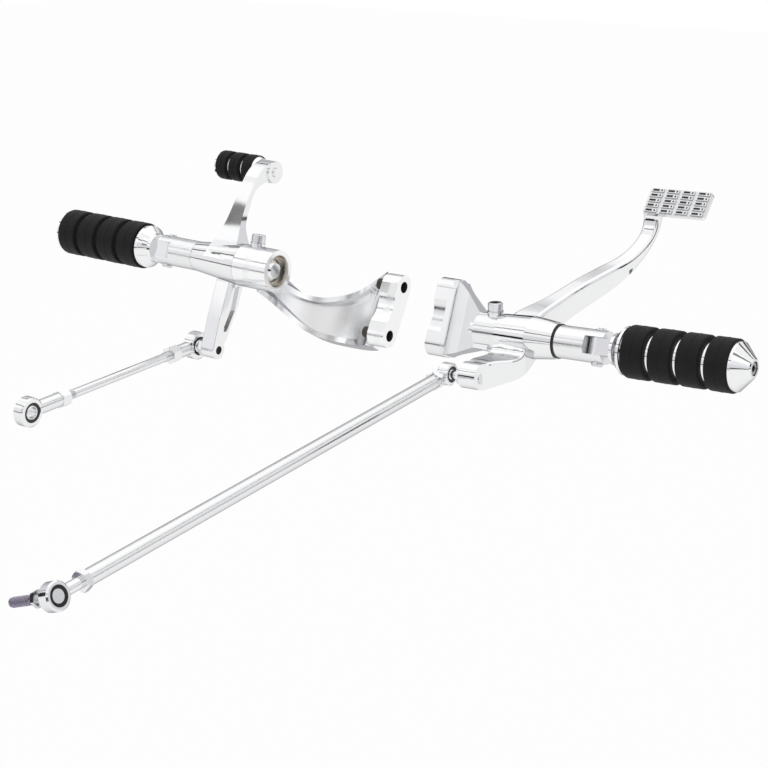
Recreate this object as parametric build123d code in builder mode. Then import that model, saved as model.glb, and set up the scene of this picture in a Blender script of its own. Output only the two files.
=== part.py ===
from build123d import *

import math
import os

# Motorcycle forward controls: a shift side for the left of the frame and a brake side for the right.
# Each side has a cast bracket, a pivot shaft that carries its lever, and a folding foot peg outboard.
# Millimetres. X points to the rider's right, Y forward and Z up. The origin is the centre of the
# right bracket's bolt pattern, on the face that meets the frame.

# Places of the two sides
face_spread = 65.0
peg_rise = 1.5
right_axis_y = -2.0
right_axis_z = -6.0
left_axis_y = -2.0
left_axis_z = 12.75

# Fits
running_gap = 0.05
end_gap = 0.2
free_gap = 0.4

# Bolt patterns of the two brackets
bolt_spacing = 42.5
bolt_hole_d = 9.5
lobe_d = 20.0
waist_depth = 3.5
waist_r = 24.0
right_lean = 69.0
left_lean = 61.3
left_pattern_ahead = 37.9
left_pattern_drop = 25.9

# Pivot shafts, and the clamp screws that hold them in the brackets
shaft_d = 16.0
bush_d = 20.0
clamp_head_d = 11.0
clamp_head_h = 6.6
clamp_shank_d = 6.0
clamp_depth = 14.0
clamp_washer_d = 13.4
clamp_boss_d = 12.0
clamp_washer_t = 1.4
clamp_boss_h = 1.6
clamp_socket = 5.0

# Right bracket, stations outboard from its mounting face
right_foot_t = 12.5
right_shoulder_t = 6.0
right_hole_depth = 16.0
right_neck_at = 43.0
right_web_end_t = 10.0
right_web_neck_t = 16.0
right_web_hollow = (21.5, 6.6)
right_web_flat = 28.0
right_tube_d = 28.0
right_tube_round = 1.6
foot_round = 1.5
right_tube_end = 63.0
right_shaft_start = 36.0
right_clamp_at = 56.0

# Brake pedal hub
pedal_hub_inner_d = 30.4
pedal_hub_swell_d = 33.2
pedal_hub_swell_at = 91.0
pedal_hub_outer_d = 28.0
right_seam = 115.0
seal_t = 1.4
seal_d = 26.6

# Left bracket, stations outboard from its mounting face
left_foot_t = 16.0
barrel_d = 36.0
barrel_start = 95.0
barrel_end = 130.5
barrel_recess_d = 28.0
barrel_recess = 12.0
left_bolt_head_d = 19.3
left_bolt_head_h = 9.5
left_bolt_d = 10.0
left_bolt_reach = 30.0
left_clamp_at = 120.0
left_clamp_lean = 12.0
left_seam = 181.5

# Curved arm of the left bracket: a channel bent to an arc that bows out between barrel and foot.
# Its ends are given by station outboard and distance square to the bolt line, its two edges by
# station inboard of the mounting face (negative) and height along the bolt line.
arm_root = (120.0, 6.0)
arm_tip = (14.2, 49.8)
arm_bow = 38.2
arm_t = 14.0
arm_rim = 4.5
arm_floor_t = 7.0
arm_root_trim = 4.0
arm_tip_trim = 5.0
arm_pocket_end = (-21.0, -6.0)
arm_far_edge = [
    (-124, 14),
    (-111.7, 0.5),
    (-101.8, -4),
    (-89, -4.5),
    (-74, 0),
    (-58, 7.5),
    (-42, 17.5),
    (-30, 25),
    (-14, 27),
]
arm_near_edge = [
    (-14, -37),
    (-30, -37.2),
    (-58, -37.2),
    (-74, -37.2),
    (-89, -35),
    (-101.8, -28.5),
    (-111.7, -21),
    (-124, -10),
]

# Shift lever
lever_hub_small_d = 25.4
lever_mid = 150.0
lower_arm_w = 14.0
lower_arm_front = [(12, -8), (13.5, -20), (4.7, -40.7), (-8.3, -63.2)]
lower_arm_rear = [(-18.2, -44.2), (-6.5, -16), (-4, -8)]
lower_eye = (-19.8, -72.7)
lower_eye_r = 7.6
lower_scoop = [(7.5, -22), (-1, -22), (-11, -44), (-13.5, -58), (-9.5, -58), (1, -42)]
lower_scoop_depth = 2.2
upper_arm_rear = [(-16, 6), (-6, 14.5), (3.5, 26), (13.6, 42.6), (24.3, 59.5), (36, 73), (51.6, 79.1)]
upper_arm_front = [(55.6, 60.8), (39.7, 62.2), (30, 58), (21.9, 45.2), (13.5, 28), (12.5, 20), (14, 6)]
upper_arm_outer = [(14, 0), (14, 14), (9.6, 28), (6.8, 46), (6.6, 60), (6.6, 84)]
upper_arm_inner = [(-6.6, 84), (-6.6, 50), (-8.6, 30), (-14, 12), (-14, 0)]
lever_round = 1.4
toe_axis = (54.6, 70.1)
toe_eye_d = 19.0
toe_eye_in = 142.0
toe_eye_out = 157.0

# Toe peg, stations outboard from the eye
toe_ring_d = 25.0
toe_core_d = 20.0
toe_ring_w = 10.9
toe_ring_pitch = 14.4
toe_flange_t = 3.5
toe_rings = 3
toe_cap_t = 6.0
toe_stud_d = 8.0

# Foot pegs, stations outboard from the fold pin
mount_tube_d = 25.4
slot_start = 25.5
pin_from_seam = 33.3
ear_reach = 7.2
ear_end_r = 12.9
slot_gap = 13.4
tongue_w = 14.4
pin_d = 6.0
pin_lean = 18.0
pin_head_d = 8.7
pin_head_h = 3.0
pin_clip_d = 9.4
pin_clip_t = 1.0
pin_tail = 2.0
ear_face = 12.0
peg_base_at = 13.6
peg_base_d = 24.0
peg_bell_end = 23.0
peg_rim_d = 37.0
ring_start = {"left": 27.4, "right": 26.8}
ring_d = 40.0
ring_seat_d = 29.0
land_d = 32.6
ring_w = {"left": 19.3, "right": 18.4}
ring_pitch = {"left": 23.6, "right": 22.57}
rim_gap = 1.6
rings = 4
ring_round = 1.6
cap_rim_t = 2.2
cap_t = 12.9
cap_nose_d = 15.0
cap_recess_d = 10.6
cap_recess = 6.5
cap_screw_head_d = 9.4
cap_screw_head_h = 5.5
cap_screw_d = 6.0
cap_screw_length = 24.0
cap_screw_socket = 4.5

# Brake pedal arm, tread and lower lever
pedal_reach = 100.0
tread_centre = (131.0, 88.7)
tread_mid = 142.5
tread_length = 54.0
tread_width = 23.6
tread_tilt = 47.6
tread_t = 4.0
tread_block = (10.6, 3.2, 1.1)
tread_rows = 5
tread_columns = 4
tread_corner_r = 2.0
arm_top_rear = [(-8, 10), (6, 16.5), (26, 22), (59, 33)]
arm_top_elbow = [(88, 41), (104, 47), (113, 53), (122.5, 62), (126.5, 80.4)]
arm_top = arm_top_rear + arm_top_elbow
arm_bottom_elbow = [(137.5, 92.4), (134.5, 70), (126, 55), (112, 40), (97, 28)]
arm_bottom_rear = [(74, 18), (41, 5), (12, -10)]
arm_bottom = arm_bottom_elbow + arm_bottom_rear
arm_inboard_rear = [(67.5, -16), (69.5, 8), (79, 33), (89.5, 66)]
arm_inboard = arm_inboard_rear + [(99.5, 96), (108.5, 114), (113.3, 128), (114, 145)]
arm_outboard_front = [(128.5, 145), (127.5, 130), (122.5, 114), (115, 96)]
arm_outboard = arm_outboard_front + [(105.5, 66), (96, 33), (93, 8), (93, -16)]
arm_round = 3.0
arm_bead = 8.5
arm_recess = 2.6
arm_recess_start = 24.0
arm_recess_end = 112.0
arm_recess_foot = -14.0
brake_eye = (-52.7, -22.8)
brake_eye_r = 8.8
brake_eye_in = 61.5
brake_eye_out = 77.5
brake_web_out = 92.5
brake_lever_top = [(-14.6, 2), (-15.4, -5), (-18.5, -10), (-25, -11.8), (-36, -11.6), (-47, -12.4)]
brake_lever_bottom = [(-52.7, -31.6), (-44, -31.4), (-32, -29), (-19, -26.4), (-6, -21), (6, -12)]
brake_lever_outboard = [(77.5, -70), (77.5, -52), (79.5, -45), (85, -35), (90.5, -25), (92.5, -15), (92.5, 6)]
brake_lever_inboard = [(61.5, -70), (61.5, -34), (62.6, -25), (63.4, -18), (63.4, 6)]
brake_lever_round = 2.0
brake_stud_d = 8.0
brake_stud_collar_w = 4.5
brake_stud_flats = 11.0
brake_stud_neck_d = 6.0

# Rods: a swivel bearing in an eye at each end, and a jam nut behind each eye's neck
ball_side = 0.68
nut_flats = 13.0
nut_turned = 0.9
nut_corner = 1.2
socket_depth = 12.0
shift_rod_out = 169.0
shift_rod_length = 197.6
shift_rod_slope = 3.5
shift_rod_d = 7.3
shift_head_d = 24.0
shift_head_w = 10.0
shift_liner_d = 16.3
shift_ball_d = 14.4
shift_ball_bore_d = 9.0
shift_neck_d = 11.5
shift_nut_w = 9.0
shift_near_neck = 25.0
shift_far_neck = 33.0
brake_rod_out = 46.5
brake_rod_length = 419.7
brake_rod_slope = 6.0
brake_rod_d = 11.1
brake_thread_d = 8.0
brake_thread_reach = 14.0
brake_near_head_d = 17.4
brake_far_head_d = 19.0
brake_head_w = 9.0
brake_near_liner_d = 12.6
brake_far_liner_d = 13.8
brake_near_ball_d = 11.0
brake_far_ball_d = 12.0
brake_nut_w = 5.0
brake_near_tube = 19.0
brake_far_tube = 26.6
brake_head_roll = 18.0
stud_d = 6.0
stud_tip = 40.5
stud_collar_at = 13.5
stud_collar_w = 3.5
stud_collar_flats = 10.0

os.makedirs("parts", exist_ok=True)

rise = math.radians(peg_rise)
forward = Vector(0, 1, 0)
right = Plane(
    origin=(0, right_axis_y, right_axis_z),
    x_dir=(0, 1, 0),
    z_dir=(math.cos(rise), 0, math.sin(rise)),
)
left = Plane(
    origin=(-face_spread, left_axis_y, left_axis_z),
    x_dir=(0, -1, 0),
    z_dir=(-math.cos(rise), 0, math.sin(rise)),
)


def lengthwise(side):
    """The plane that holds a side's axis: x runs outboard along it and y is up."""
    return Plane(origin=side.origin, x_dir=side.z_dir, z_dir=side.x_dir * -1)


def across(side, out):
    """The plane across a side's axis at a station: x is forward, y is up and it faces +X."""
    inward = side.x_dir.Y
    return Plane(origin=side.origin + side.z_dir * out, x_dir=(0, 1, 0), z_dir=side.z_dir * inward)


def place(side, out, ahead, up):
    """A point by its station outboard, its distance ahead of the axis and its height above it."""
    return side.origin + side.z_dir * out + forward * ahead + side.y_dir * up


def turned(side, outline):
    """A solid of revolution about a side's axis, from (station, radius) points."""
    with BuildPart() as piece:
        with BuildSketch(lengthwise(side)):
            with BuildLine():
                Polyline(*outline, close=True)
            make_face()
        revolve(axis=Axis(side.origin, side.z_dir))
    return piece


def sleeve(side, start, end, outer_d, inner_d=0.0):
    """A plain round bar or tube about a side's axis."""
    return turned(
        side,
        [(start, inner_d / 2), (end, inner_d / 2), (end, outer_d / 2), (start, outer_d / 2)],
    )


def finish(piece, label):
    """Name a finished piece and write it."""
    piece.part.label = label
    export_step(piece.part, "parts/" + label + ".step")


# Right bracket: a casting with two bolt lobes that flows into a round tube for the pivot shaft.
# Its web is the shape seen from the side, cut to the hollowed shape seen along the bolt line.
right_bolt_way = Vector(0, math.cos(math.radians(right_lean)), math.sin(math.radians(right_lean)))
web_side = Plane(origin=(0, 0, 0), x_dir=(1, 0, 0), z_dir=Vector(1, 0, 0).cross(right_bolt_way))
web_edge = Plane(origin=(0, 0, 0), x_dir=(1, 0, 0), z_dir=right_bolt_way * -1)
tube_t = right.origin.dot(right_bolt_way)
web_start = right_foot_t + right_shoulder_t / 2
shoulder_at = right_foot_t + right_shoulder_t
lobe_end = bolt_spacing / 2 + lobe_d / 2
with BuildPart() as right_web:
    with BuildSketch(web_side):
        with BuildLine():
            Polyline(
                (web_start, -lobe_end + foot_round),
                (shoulder_at, -lobe_end + foot_round),
                (right_neck_at, tube_t - right_tube_d / 2),
                (right_clamp_at, tube_t - right_tube_d / 2),
                (right_clamp_at, tube_t + right_tube_d / 2),
                (right_neck_at, tube_t + right_tube_d / 2),
                (shoulder_at, lobe_end - foot_round),
                (web_start, lobe_end - foot_round),
                close=True,
            )
        make_face()
    extrude(amount=lobe_d, both=True)
    with BuildSketch(web_edge):
        with BuildLine():
            for face in (1, -1):
                Line((web_start, 0), (web_start, face * lobe_d / 2))
                Line((web_start, face * lobe_d / 2), (shoulder_at, face * (lobe_d / 2 - foot_round)))
                ThreePointArc(
                    (shoulder_at, face * (lobe_d / 2 - foot_round)),
                    (right_web_hollow[0], face * right_web_hollow[1]),
                    (right_web_flat, face * right_web_end_t / 2),
                )
                Line((right_web_flat, face * right_web_end_t / 2), (right_neck_at, face * right_web_neck_t / 2))
                Line((right_neck_at, face * right_web_neck_t / 2), (right_clamp_at, face * right_web_neck_t / 2))
                Line((right_clamp_at, face * right_web_neck_t / 2), (right_clamp_at, 0))
        make_face()
    extrude(amount=lobe_end * 2, both=True, mode=Mode.INTERSECT)

with BuildPart() as right_bracket:
    with BuildSketch(Plane.YZ):
        SlotCenterToCenter(bolt_spacing, lobe_d, rotation=right_lean)
        with PolarLocations(lobe_d / 2 + waist_r - waist_depth, 2, start_angle=right_lean + 90):
            Circle(waist_r, mode=Mode.SUBTRACT)
    extrude(amount=right_foot_t)
    with BuildSketch(Plane.YZ.offset(right_foot_t)):
        SlotCenterToCenter(bolt_spacing, lobe_d, rotation=right_lean)
    extrude(amount=right_shoulder_t)
    shoulder_rim = right_bracket.edges().filter_by(
        lambda edge: edge.center().X > right_foot_t + right_shoulder_t - end_gap
    )
    fillet(shoulder_rim, radius=foot_round)
    add(right_web.part)
    with BuildSketch(right.offset(right_neck_at)):
        Circle(right_tube_d / 2)
    tube = extrude(amount=right_tube_end - right_neck_at)
    with BuildSketch(Plane.YZ):
        with PolarLocations(bolt_spacing / 2, 2, start_angle=right_lean):
            Circle(bolt_hole_d / 2)
    extrude(amount=right_hole_depth, mode=Mode.SUBTRACT)
    add(sleeve(right, right_shaft_start, right_tube_end, shaft_d).part, mode=Mode.SUBTRACT)
    seat_height = right_tube_d / 2 + clamp_boss_h
    seat = Plane(
        origin=place(right, right_clamp_at, 0, seat_height), x_dir=right.z_dir, z_dir=right.y_dir
    )
    with BuildSketch(seat):
        Circle(clamp_boss_d / 2)
    extrude(amount=-seat_height + shaft_d / 2 + free_gap)
    with BuildSketch(seat):
        Circle(clamp_shank_d / 2)
    extrude(amount=-seat_height, mode=Mode.SUBTRACT)
finish(right_bracket, "right_bracket")


# Left bracket: a foot for two bolts, a curved channel arm, and a barrel for the pivot shaft
bolt_line = forward * math.cos(math.radians(left_lean)) + left.y_dir * math.sin(math.radians(left_lean))
arm_plane = Plane(origin=left.origin, x_dir=left.z_dir * -1, z_dir=bolt_line)
arm_face = Plane(origin=left.origin, x_dir=left.z_dir * -1, z_dir=arm_plane.y_dir * -1)
left_foot = Plane(
    origin=(-face_spread, left_axis_y + left_pattern_ahead, left_axis_z - left_pattern_drop),
    x_dir=(0, 1, 0),
    z_dir=(1, 0, 0),
)


def arm_outline():
    """The arm seen square to its bend."""
    with BuildSketch(arm_face) as outline:
        with BuildLine():
            Spline(*arm_far_edge)
            Line(arm_far_edge[-1], arm_near_edge[0])
            Spline(*arm_near_edge)
            Line(arm_near_edge[-1], arm_far_edge[0])
        make_face()
    return outline.sketch


def pocket_outline():
    """The pocket between the arm's rims, with a rounded end at the foot."""
    far_edge = [(along, height - arm_rim) for along, height in arm_far_edge[:-1]]
    near_edge = [(along, height + arm_rim) for along, height in arm_near_edge[1:]]
    with BuildSketch(arm_face) as outline:
        with BuildLine():
            Spline(*far_edge)
            ThreePointArc(far_edge[-1], arm_pocket_end, near_edge[0])
            Spline(*near_edge)
            Line(near_edge[-1], far_edge[0])
        make_face()
    return outline.sketch


root = Vector(-arm_root[0], arm_root[1])
tip = Vector(-arm_tip[0], arm_tip[1])
chord = tip - root
arm_r = arm_bow / 2 + chord.length**2 / (8 * arm_bow)
inward = Vector(chord.Y, -chord.X).normalized()
arm_centre = (root + tip) * 0.5 + inward * (arm_r - arm_bow)
tip_angle = math.degrees(math.atan2(tip.Y - arm_centre.Y, tip.X - arm_centre.X))
root_angle = math.degrees(math.atan2(root.Y - arm_centre.Y, root.X - arm_centre.X)) % 360
arm_sweep = root_angle - tip_angle
arm_width = bolt_spacing + 2 * lobe_d


def arm_band(inner_r, outer_r, tip_trim=0.0, root_trim=0.0):
    """A strip of the ring that the arm is bent to, shortened by an angle at each end."""
    with BuildSketch(arm_plane.offset(-arm_width)) as band:
        with BuildLine():
            start = tip_angle + tip_trim
            sweep = arm_sweep - tip_trim - root_trim
            outer = CenterArc(arm_centre, outer_r, start, sweep)
            inner = CenterArc(arm_centre, inner_r, start, sweep)
            Line(outer @ 0, inner @ 0)
            Line(outer @ 1, inner @ 1)
        make_face()
    return band.sketch


arm_inner_r = arm_r - arm_t / 2
arm_outer_r = arm_r + arm_t / 2
floor_r = arm_outer_r - arm_floor_t
with BuildPart() as arm_pocket:
    extrude(arm_band(arm_inner_r - arm_t, floor_r, arm_tip_trim, arm_root_trim), amount=2 * arm_width)
    extrude(pocket_outline(), amount=arm_r * 2, both=True, mode=Mode.INTERSECT)

with BuildPart() as left_bracket:
    extrude(arm_band(arm_inner_r, arm_outer_r), amount=2 * arm_width)
    extrude(arm_outline(), amount=arm_r * 2, both=True, mode=Mode.INTERSECT)
    add(arm_pocket.part, mode=Mode.SUBTRACT)
    with BuildSketch(left_foot):
        SlotCenterToCenter(bolt_spacing, lobe_d, rotation=left_lean)
        with PolarLocations(lobe_d / 2 + waist_r - waist_depth, 1, start_angle=left_lean + 90):
            Circle(waist_r, mode=Mode.SUBTRACT)
    extrude(amount=-left_foot_t)
    add(sleeve(left, barrel_start, barrel_end, barrel_d).part)
    with BuildSketch(left_foot):
        with PolarLocations(bolt_spacing / 2, 2, start_angle=left_lean):
            Circle(bolt_hole_d / 2)
    extrude(amount=-left_foot_t * 2, mode=Mode.SUBTRACT)
    add(sleeve(left, barrel_start, barrel_start + barrel_recess, barrel_recess_d).part, mode=Mode.SUBTRACT)
    add(sleeve(left, barrel_start, barrel_end, shaft_d).part, mode=Mode.SUBTRACT)
    lean = math.radians(left_clamp_lean)
    left_clamp_way = forward * math.sin(lean) + left.y_dir * math.cos(lean)
    left_seat_height = barrel_d / 2 + clamp_boss_h
    left_seat = Plane(
        origin=left.origin + left.z_dir * left_clamp_at + left_clamp_way * left_seat_height,
        x_dir=left.z_dir,
        z_dir=left_clamp_way,
    )
    with BuildSketch(left_seat):
        Circle(clamp_boss_d / 2)
    extrude(amount=-left_seat_height + shaft_d / 2 + free_gap)
    with BuildSketch(left_seat):
        Circle(clamp_shank_d / 2)
    extrude(amount=-left_seat_height, mode=Mode.SUBTRACT)
finish(left_bracket, "left_bracket")


def clamp_washer(seat_plane):
    """The flat washer under a clamp screw."""
    with BuildPart() as piece:
        with BuildSketch(seat_plane):
            Circle(clamp_washer_d / 2 - free_gap)
            Circle(clamp_shank_d / 2, mode=Mode.SUBTRACT)
        extrude(amount=clamp_washer_t)
    return piece


def clamp_screw(seat_plane):
    """A socket screw whose tip bears on a dimple in the pivot shaft."""
    with BuildPart() as piece:
        with BuildSketch(seat_plane.offset(clamp_washer_t)):
            Circle(clamp_head_d / 2)
        extrude(amount=clamp_head_h)
        chamfer(piece.edges().group_by(Axis.Z)[-1], length=0.6)
        with BuildSketch(seat_plane.offset(clamp_washer_t)):
            Circle(clamp_shank_d / 2)
        extrude(amount=-clamp_depth)
        with BuildSketch(seat_plane.offset(clamp_washer_t + clamp_head_h)):
            RegularPolygon(clamp_socket / 2, 6, major_radius=False)
        extrude(amount=-clamp_head_h * 0.6, mode=Mode.SUBTRACT)
    return piece


for side_name, seat_plane in [("right", seat), ("left", left_seat)]:
    finish(clamp_washer(seat_plane), side_name + "_clamp_washer")
    finish(clamp_screw(seat_plane), side_name + "_clamp_screw")


def fold_plane(side, seam):
    """The plane across a peg's fold pin, at its middle: x runs outboard and z along the pin."""
    tilt = math.radians(pin_lean)
    pin_way = forward * math.sin(tilt) + side.y_dir * math.cos(tilt)
    return Plane(
        origin=side.origin + side.z_dir * (seam + pin_from_seam), x_dir=side.z_dir, z_dir=pin_way
    )


def peg_mount(side, seam, shaft_start, tip_hole, seat_plane):
    """A pivot shaft and, outboard of its shoulder, a forked tube that carries the folding peg."""
    fold = fold_plane(side, seam)
    tube_end = seam + pin_from_seam + ear_reach
    with BuildPart() as piece:
        with BuildSketch(lengthwise(side)):
            with BuildLine():
                Polyline(
                    (shaft_start, 0),
                    (shaft_start, shaft_d / 2),
                    (seam, shaft_d / 2),
                    (seam, mount_tube_d / 2),
                    (tube_end, mount_tube_d / 2),
                    (tube_end, 0),
                    close=True,
                )
            make_face()
        revolve(axis=Axis(side.origin, side.z_dir))
        with BuildSketch(fold):
            with Locations((-tube_end / 2, 0)):
                Rectangle(tube_end, mount_tube_d * 2)
            Circle(ear_end_r)
        extrude(amount=mount_tube_d, both=True, mode=Mode.INTERSECT)
        with BuildSketch(fold):
            with Locations((slot_start - pin_from_seam + mount_tube_d, 0)):
                Rectangle(mount_tube_d * 2, mount_tube_d * 2)
        extrude(amount=slot_gap / 2, both=True, mode=Mode.SUBTRACT)
        with BuildSketch(fold):
            Circle(pin_d / 2)
        extrude(amount=mount_tube_d, both=True, mode=Mode.SUBTRACT)
        for ear in (1, -1):
            with BuildSketch(fold.offset(ear * ear_face)):
                Circle(pin_clip_d / 2 + free_gap)
            extrude(amount=ear * mount_tube_d / 2, mode=Mode.SUBTRACT)
        with BuildSketch(seat_plane.offset(clamp_washer_t)):
            Circle(clamp_shank_d / 2)
        extrude(amount=-clamp_depth, mode=Mode.SUBTRACT)
        if tip_hole:
            add(sleeve(side, shaft_start, shaft_start + tip_hole, left_bolt_d).part, mode=Mode.SUBTRACT)
    return piece


def fold_pin(side, seam):
    """The headed pin that a peg folds about."""
    fold = fold_plane(side, seam)
    with BuildPart() as piece:
        with BuildSketch(fold.offset(-ear_face)):
            Circle(pin_d / 2)
        extrude(amount=ear_face * 2 + pin_tail)
        with BuildSketch(fold.offset(-ear_face)):
            Circle(pin_head_d / 2)
        extrude(amount=-pin_head_h)
        fillet(piece.edges().filter_by(GeomType.CIRCLE).sort_by(Axis.Z)[0], radius=pin_head_h * 0.45)
    return piece


def pin_clip(side, seam):
    """The clip on the tail of a fold pin."""
    with BuildPart() as piece:
        with BuildSketch(fold_plane(side, seam).offset(ear_face)):
            Circle(pin_clip_d / 2)
            Circle(pin_d / 2, mode=Mode.SUBTRACT)
        extrude(amount=pin_clip_t)
    return piece


def peg_core(side, seam, first_ring, width, pitch):
    """A peg's chromed body: a tongue in the fork, a bell, and seats for the rubber rings."""
    pin = seam + pin_from_seam
    core_end = first_ring + (rings - 1) * pitch + width
    outline = [
        (pin + peg_base_at, 0),
        (pin + peg_base_at, peg_base_d / 2),
        (pin + peg_base_at + 3, peg_base_d / 2 + 0.6),
        (pin + peg_bell_end - 3, peg_rim_d / 2 - 2.6),
        (pin + peg_bell_end, peg_rim_d / 2),
        (pin + first_ring - rim_gap, peg_rim_d / 2),
        (pin + first_ring - rim_gap, land_d / 2),
        (pin + first_ring, land_d / 2),
    ]
    for number in range(rings):
        start = pin + first_ring + number * pitch
        outline += [(start, ring_seat_d / 2), (start + width, ring_seat_d / 2)]
        if number < rings - 1:
            outline += [(start + width, land_d / 2), (start + pitch, land_d / 2)]
    outline += [(pin + core_end, 0)]
    fold = fold_plane(side, seam)
    with BuildPart() as piece:
        with BuildSketch(lengthwise(side)):
            with BuildLine():
                Polyline(*outline, close=True)
            make_face()
        revolve(axis=Axis(side.origin, side.z_dir))
        with BuildSketch(fold):
            with Locations((peg_base_at / 2 + 1, 0)):
                Rectangle(peg_base_at + 2, tongue_w)
            Circle(tongue_w / 2)
        extrude(amount=slot_gap / 2 - end_gap, both=True)
        with BuildSketch(fold):
            Circle(pin_d / 2 + running_gap)
        extrude(amount=mount_tube_d, both=True, mode=Mode.SUBTRACT)
        screw_bore = sleeve(side, pin + core_end - cap_screw_length, pin + core_end, cap_screw_d)
        add(screw_bore.part, mode=Mode.SUBTRACT)
    return piece


def peg_ring(side, start, width):
    """One rubber ring of a foot peg."""
    piece = sleeve(side, start, start + width, ring_d, ring_seat_d)
    with piece:
        rims = piece.edges().filter_by(GeomType.CIRCLE).filter_by(lambda edge: edge.radius > land_d / 2)
        fillet(rims, radius=ring_round)
    return piece


def peg_cap(side, start):
    """The domed end cap of a peg, bored and recessed for its screw."""
    outline = [
        (start, cap_screw_d / 2),
        (start, peg_rim_d / 2),
        (start + cap_rim_t, peg_rim_d / 2),
        (start + cap_t - 0.6, cap_nose_d / 2 + 0.4),
        (start + cap_t, cap_nose_d / 2 - 0.6),
        (start + cap_t, cap_recess_d / 2),
        (start + cap_t - cap_recess, cap_recess_d / 2),
        (start + cap_t - cap_recess, cap_screw_d / 2),
    ]
    return turned(side, outline)


def cap_screw(side, start):
    """The socket screw that holds a peg's end cap and rings."""
    seat_at = start + cap_t - cap_recess
    outline = [
        (start - cap_screw_length + 1, 0),
        (start - cap_screw_length + 1, cap_screw_d / 2),
        (seat_at, cap_screw_d / 2),
        (seat_at, cap_screw_head_d / 2),
        (seat_at + cap_screw_head_h, cap_screw_head_d / 2),
        (seat_at + cap_screw_head_h, 0),
    ]
    with BuildPart() as piece:
        with BuildSketch(lengthwise(side)):
            with BuildLine():
                Polyline(*outline, close=True)
            make_face()
        revolve(axis=Axis(side.origin, side.z_dir))
        with BuildSketch(side.offset(seat_at + cap_screw_head_h)):
            RegularPolygon(cap_screw_socket / 2, 6, major_radius=False)
        extrude(amount=-cap_screw_head_h * 0.6, mode=Mode.SUBTRACT)
    return piece


peg_sides = [("left", left, left_seam, barrel_start + barrel_recess, left_bolt_reach, left_seat)]
peg_sides += [("right", right, right_seam, right_shaft_start, 0, seat)]
for side_name, side, seam, shaft_start, tip_hole, seat_plane in peg_sides:
    first_ring = ring_start[side_name]
    finish(peg_mount(side, seam, shaft_start, tip_hole, seat_plane), side_name + "_peg_mount")
    finish(fold_pin(side, seam), side_name + "_fold_pin")
    finish(pin_clip(side, seam), side_name + "_pin_clip")
    width = ring_w[side_name]
    pitch = ring_pitch[side_name]
    finish(peg_core(side, seam, first_ring, width, pitch), side_name + "_peg_core")
    rings_at = seam + pin_from_seam + first_ring
    for number in range(rings):
        label = side_name + "_peg_ring_" + str(number + 1)
        finish(peg_ring(side, rings_at + number * pitch, width), label)
    cap_at = rings_at + (rings - 1) * pitch + width
    finish(peg_cap(side, cap_at), side_name + "_peg_cap")
    finish(cap_screw(side, cap_at), side_name + "_cap_screw")


# Bolt that draws the left pivot shaft into the barrel, with a domed head in the barrel's recess
bolt_seat = barrel_start + barrel_recess
with BuildPart() as left_pivot_bolt:
    with BuildSketch(lengthwise(left)):
        with BuildLine():
            Polyline(
                (bolt_seat + left_bolt_reach - 2, 0),
                (bolt_seat + left_bolt_reach - 2, left_bolt_d / 2),
                (bolt_seat, left_bolt_d / 2),
                (bolt_seat, left_bolt_head_d / 2),
                (bolt_seat - left_bolt_head_h * 0.65, left_bolt_head_d / 2),
                (bolt_seat - left_bolt_head_h, left_bolt_head_d / 3),
                (bolt_seat - left_bolt_head_h, 0),
                close=True,
            )
        make_face()
    revolve(axis=Axis(left.origin, left.z_dir))
finish(left_pivot_bolt, "left_pivot_bolt")


# Black seal between the pedal hub and the shoulder of the peg mount
finish(sleeve(right, right_seam - seal_t, right_seam, seal_d, shaft_d), "pedal_seal")


# Shift lever: a tapered hub with an arm down to the rod and an arm up to the toe peg
hub_in = barrel_end + end_gap
hub_out = left_seam - end_gap
with BuildPart() as toe_arm:
    with BuildSketch(across(left, lever_mid + lower_arm_w)):
        with BuildLine():
            Spline(*upper_arm_rear)
            Line(upper_arm_rear[-1], upper_arm_front[0])
            Spline(*upper_arm_front)
            Line(upper_arm_front[-1], upper_arm_rear[0])
        make_face()
    extrude(amount=lower_arm_w * 2)
    with BuildSketch(lengthwise(left)):
        with BuildLine():
            outer_side = [(lever_mid + out, up) for out, up in upper_arm_outer]
            inner_side = [(lever_mid + out, up) for out, up in upper_arm_inner]
            Spline(*outer_side)
            Line(outer_side[-1], inner_side[0])
            Spline(*inner_side)
            Line(inner_side[-1], outer_side[0])
        make_face()
    extrude(amount=toe_axis[0] * 2, both=True, mode=Mode.INTERSECT)

with BuildPart() as rod_arm:
    with BuildSketch(across(left, lever_mid + lower_arm_w / 2)):
        with BuildLine():
            Polyline(*lower_arm_front)
            Line(lower_arm_front[-1], (lower_eye[0] + lower_eye_r * 0.85, lower_eye[1] + lower_eye_r * 0.5))
            Line(
                (lower_eye[0] + lower_eye_r * 0.85, lower_eye[1] + lower_eye_r * 0.5),
                (lower_eye[0] - lower_eye_r * 0.97, lower_eye[1] + lower_eye_r * 0.24),
            )
            Line((lower_eye[0] - lower_eye_r * 0.97, lower_eye[1] + lower_eye_r * 0.24), lower_arm_rear[0])
            Polyline(*lower_arm_rear)
            Line(lower_arm_rear[-1], lower_arm_front[0])
        make_face()
        with Locations(lower_eye):
            Circle(lower_eye_r)
    extrude(amount=lower_arm_w)
    fillet(rod_arm.edges().filter_by(lambda edge: edge.length > lower_arm_w * 1.3), radius=lever_round / 2)
    with BuildSketch(across(left, lever_mid - lower_arm_w / 2)):
        with BuildLine():
            Polyline(*lower_scoop, close=True)
        make_face()
    extrude(amount=-lower_scoop_depth, mode=Mode.SUBTRACT)

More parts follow.
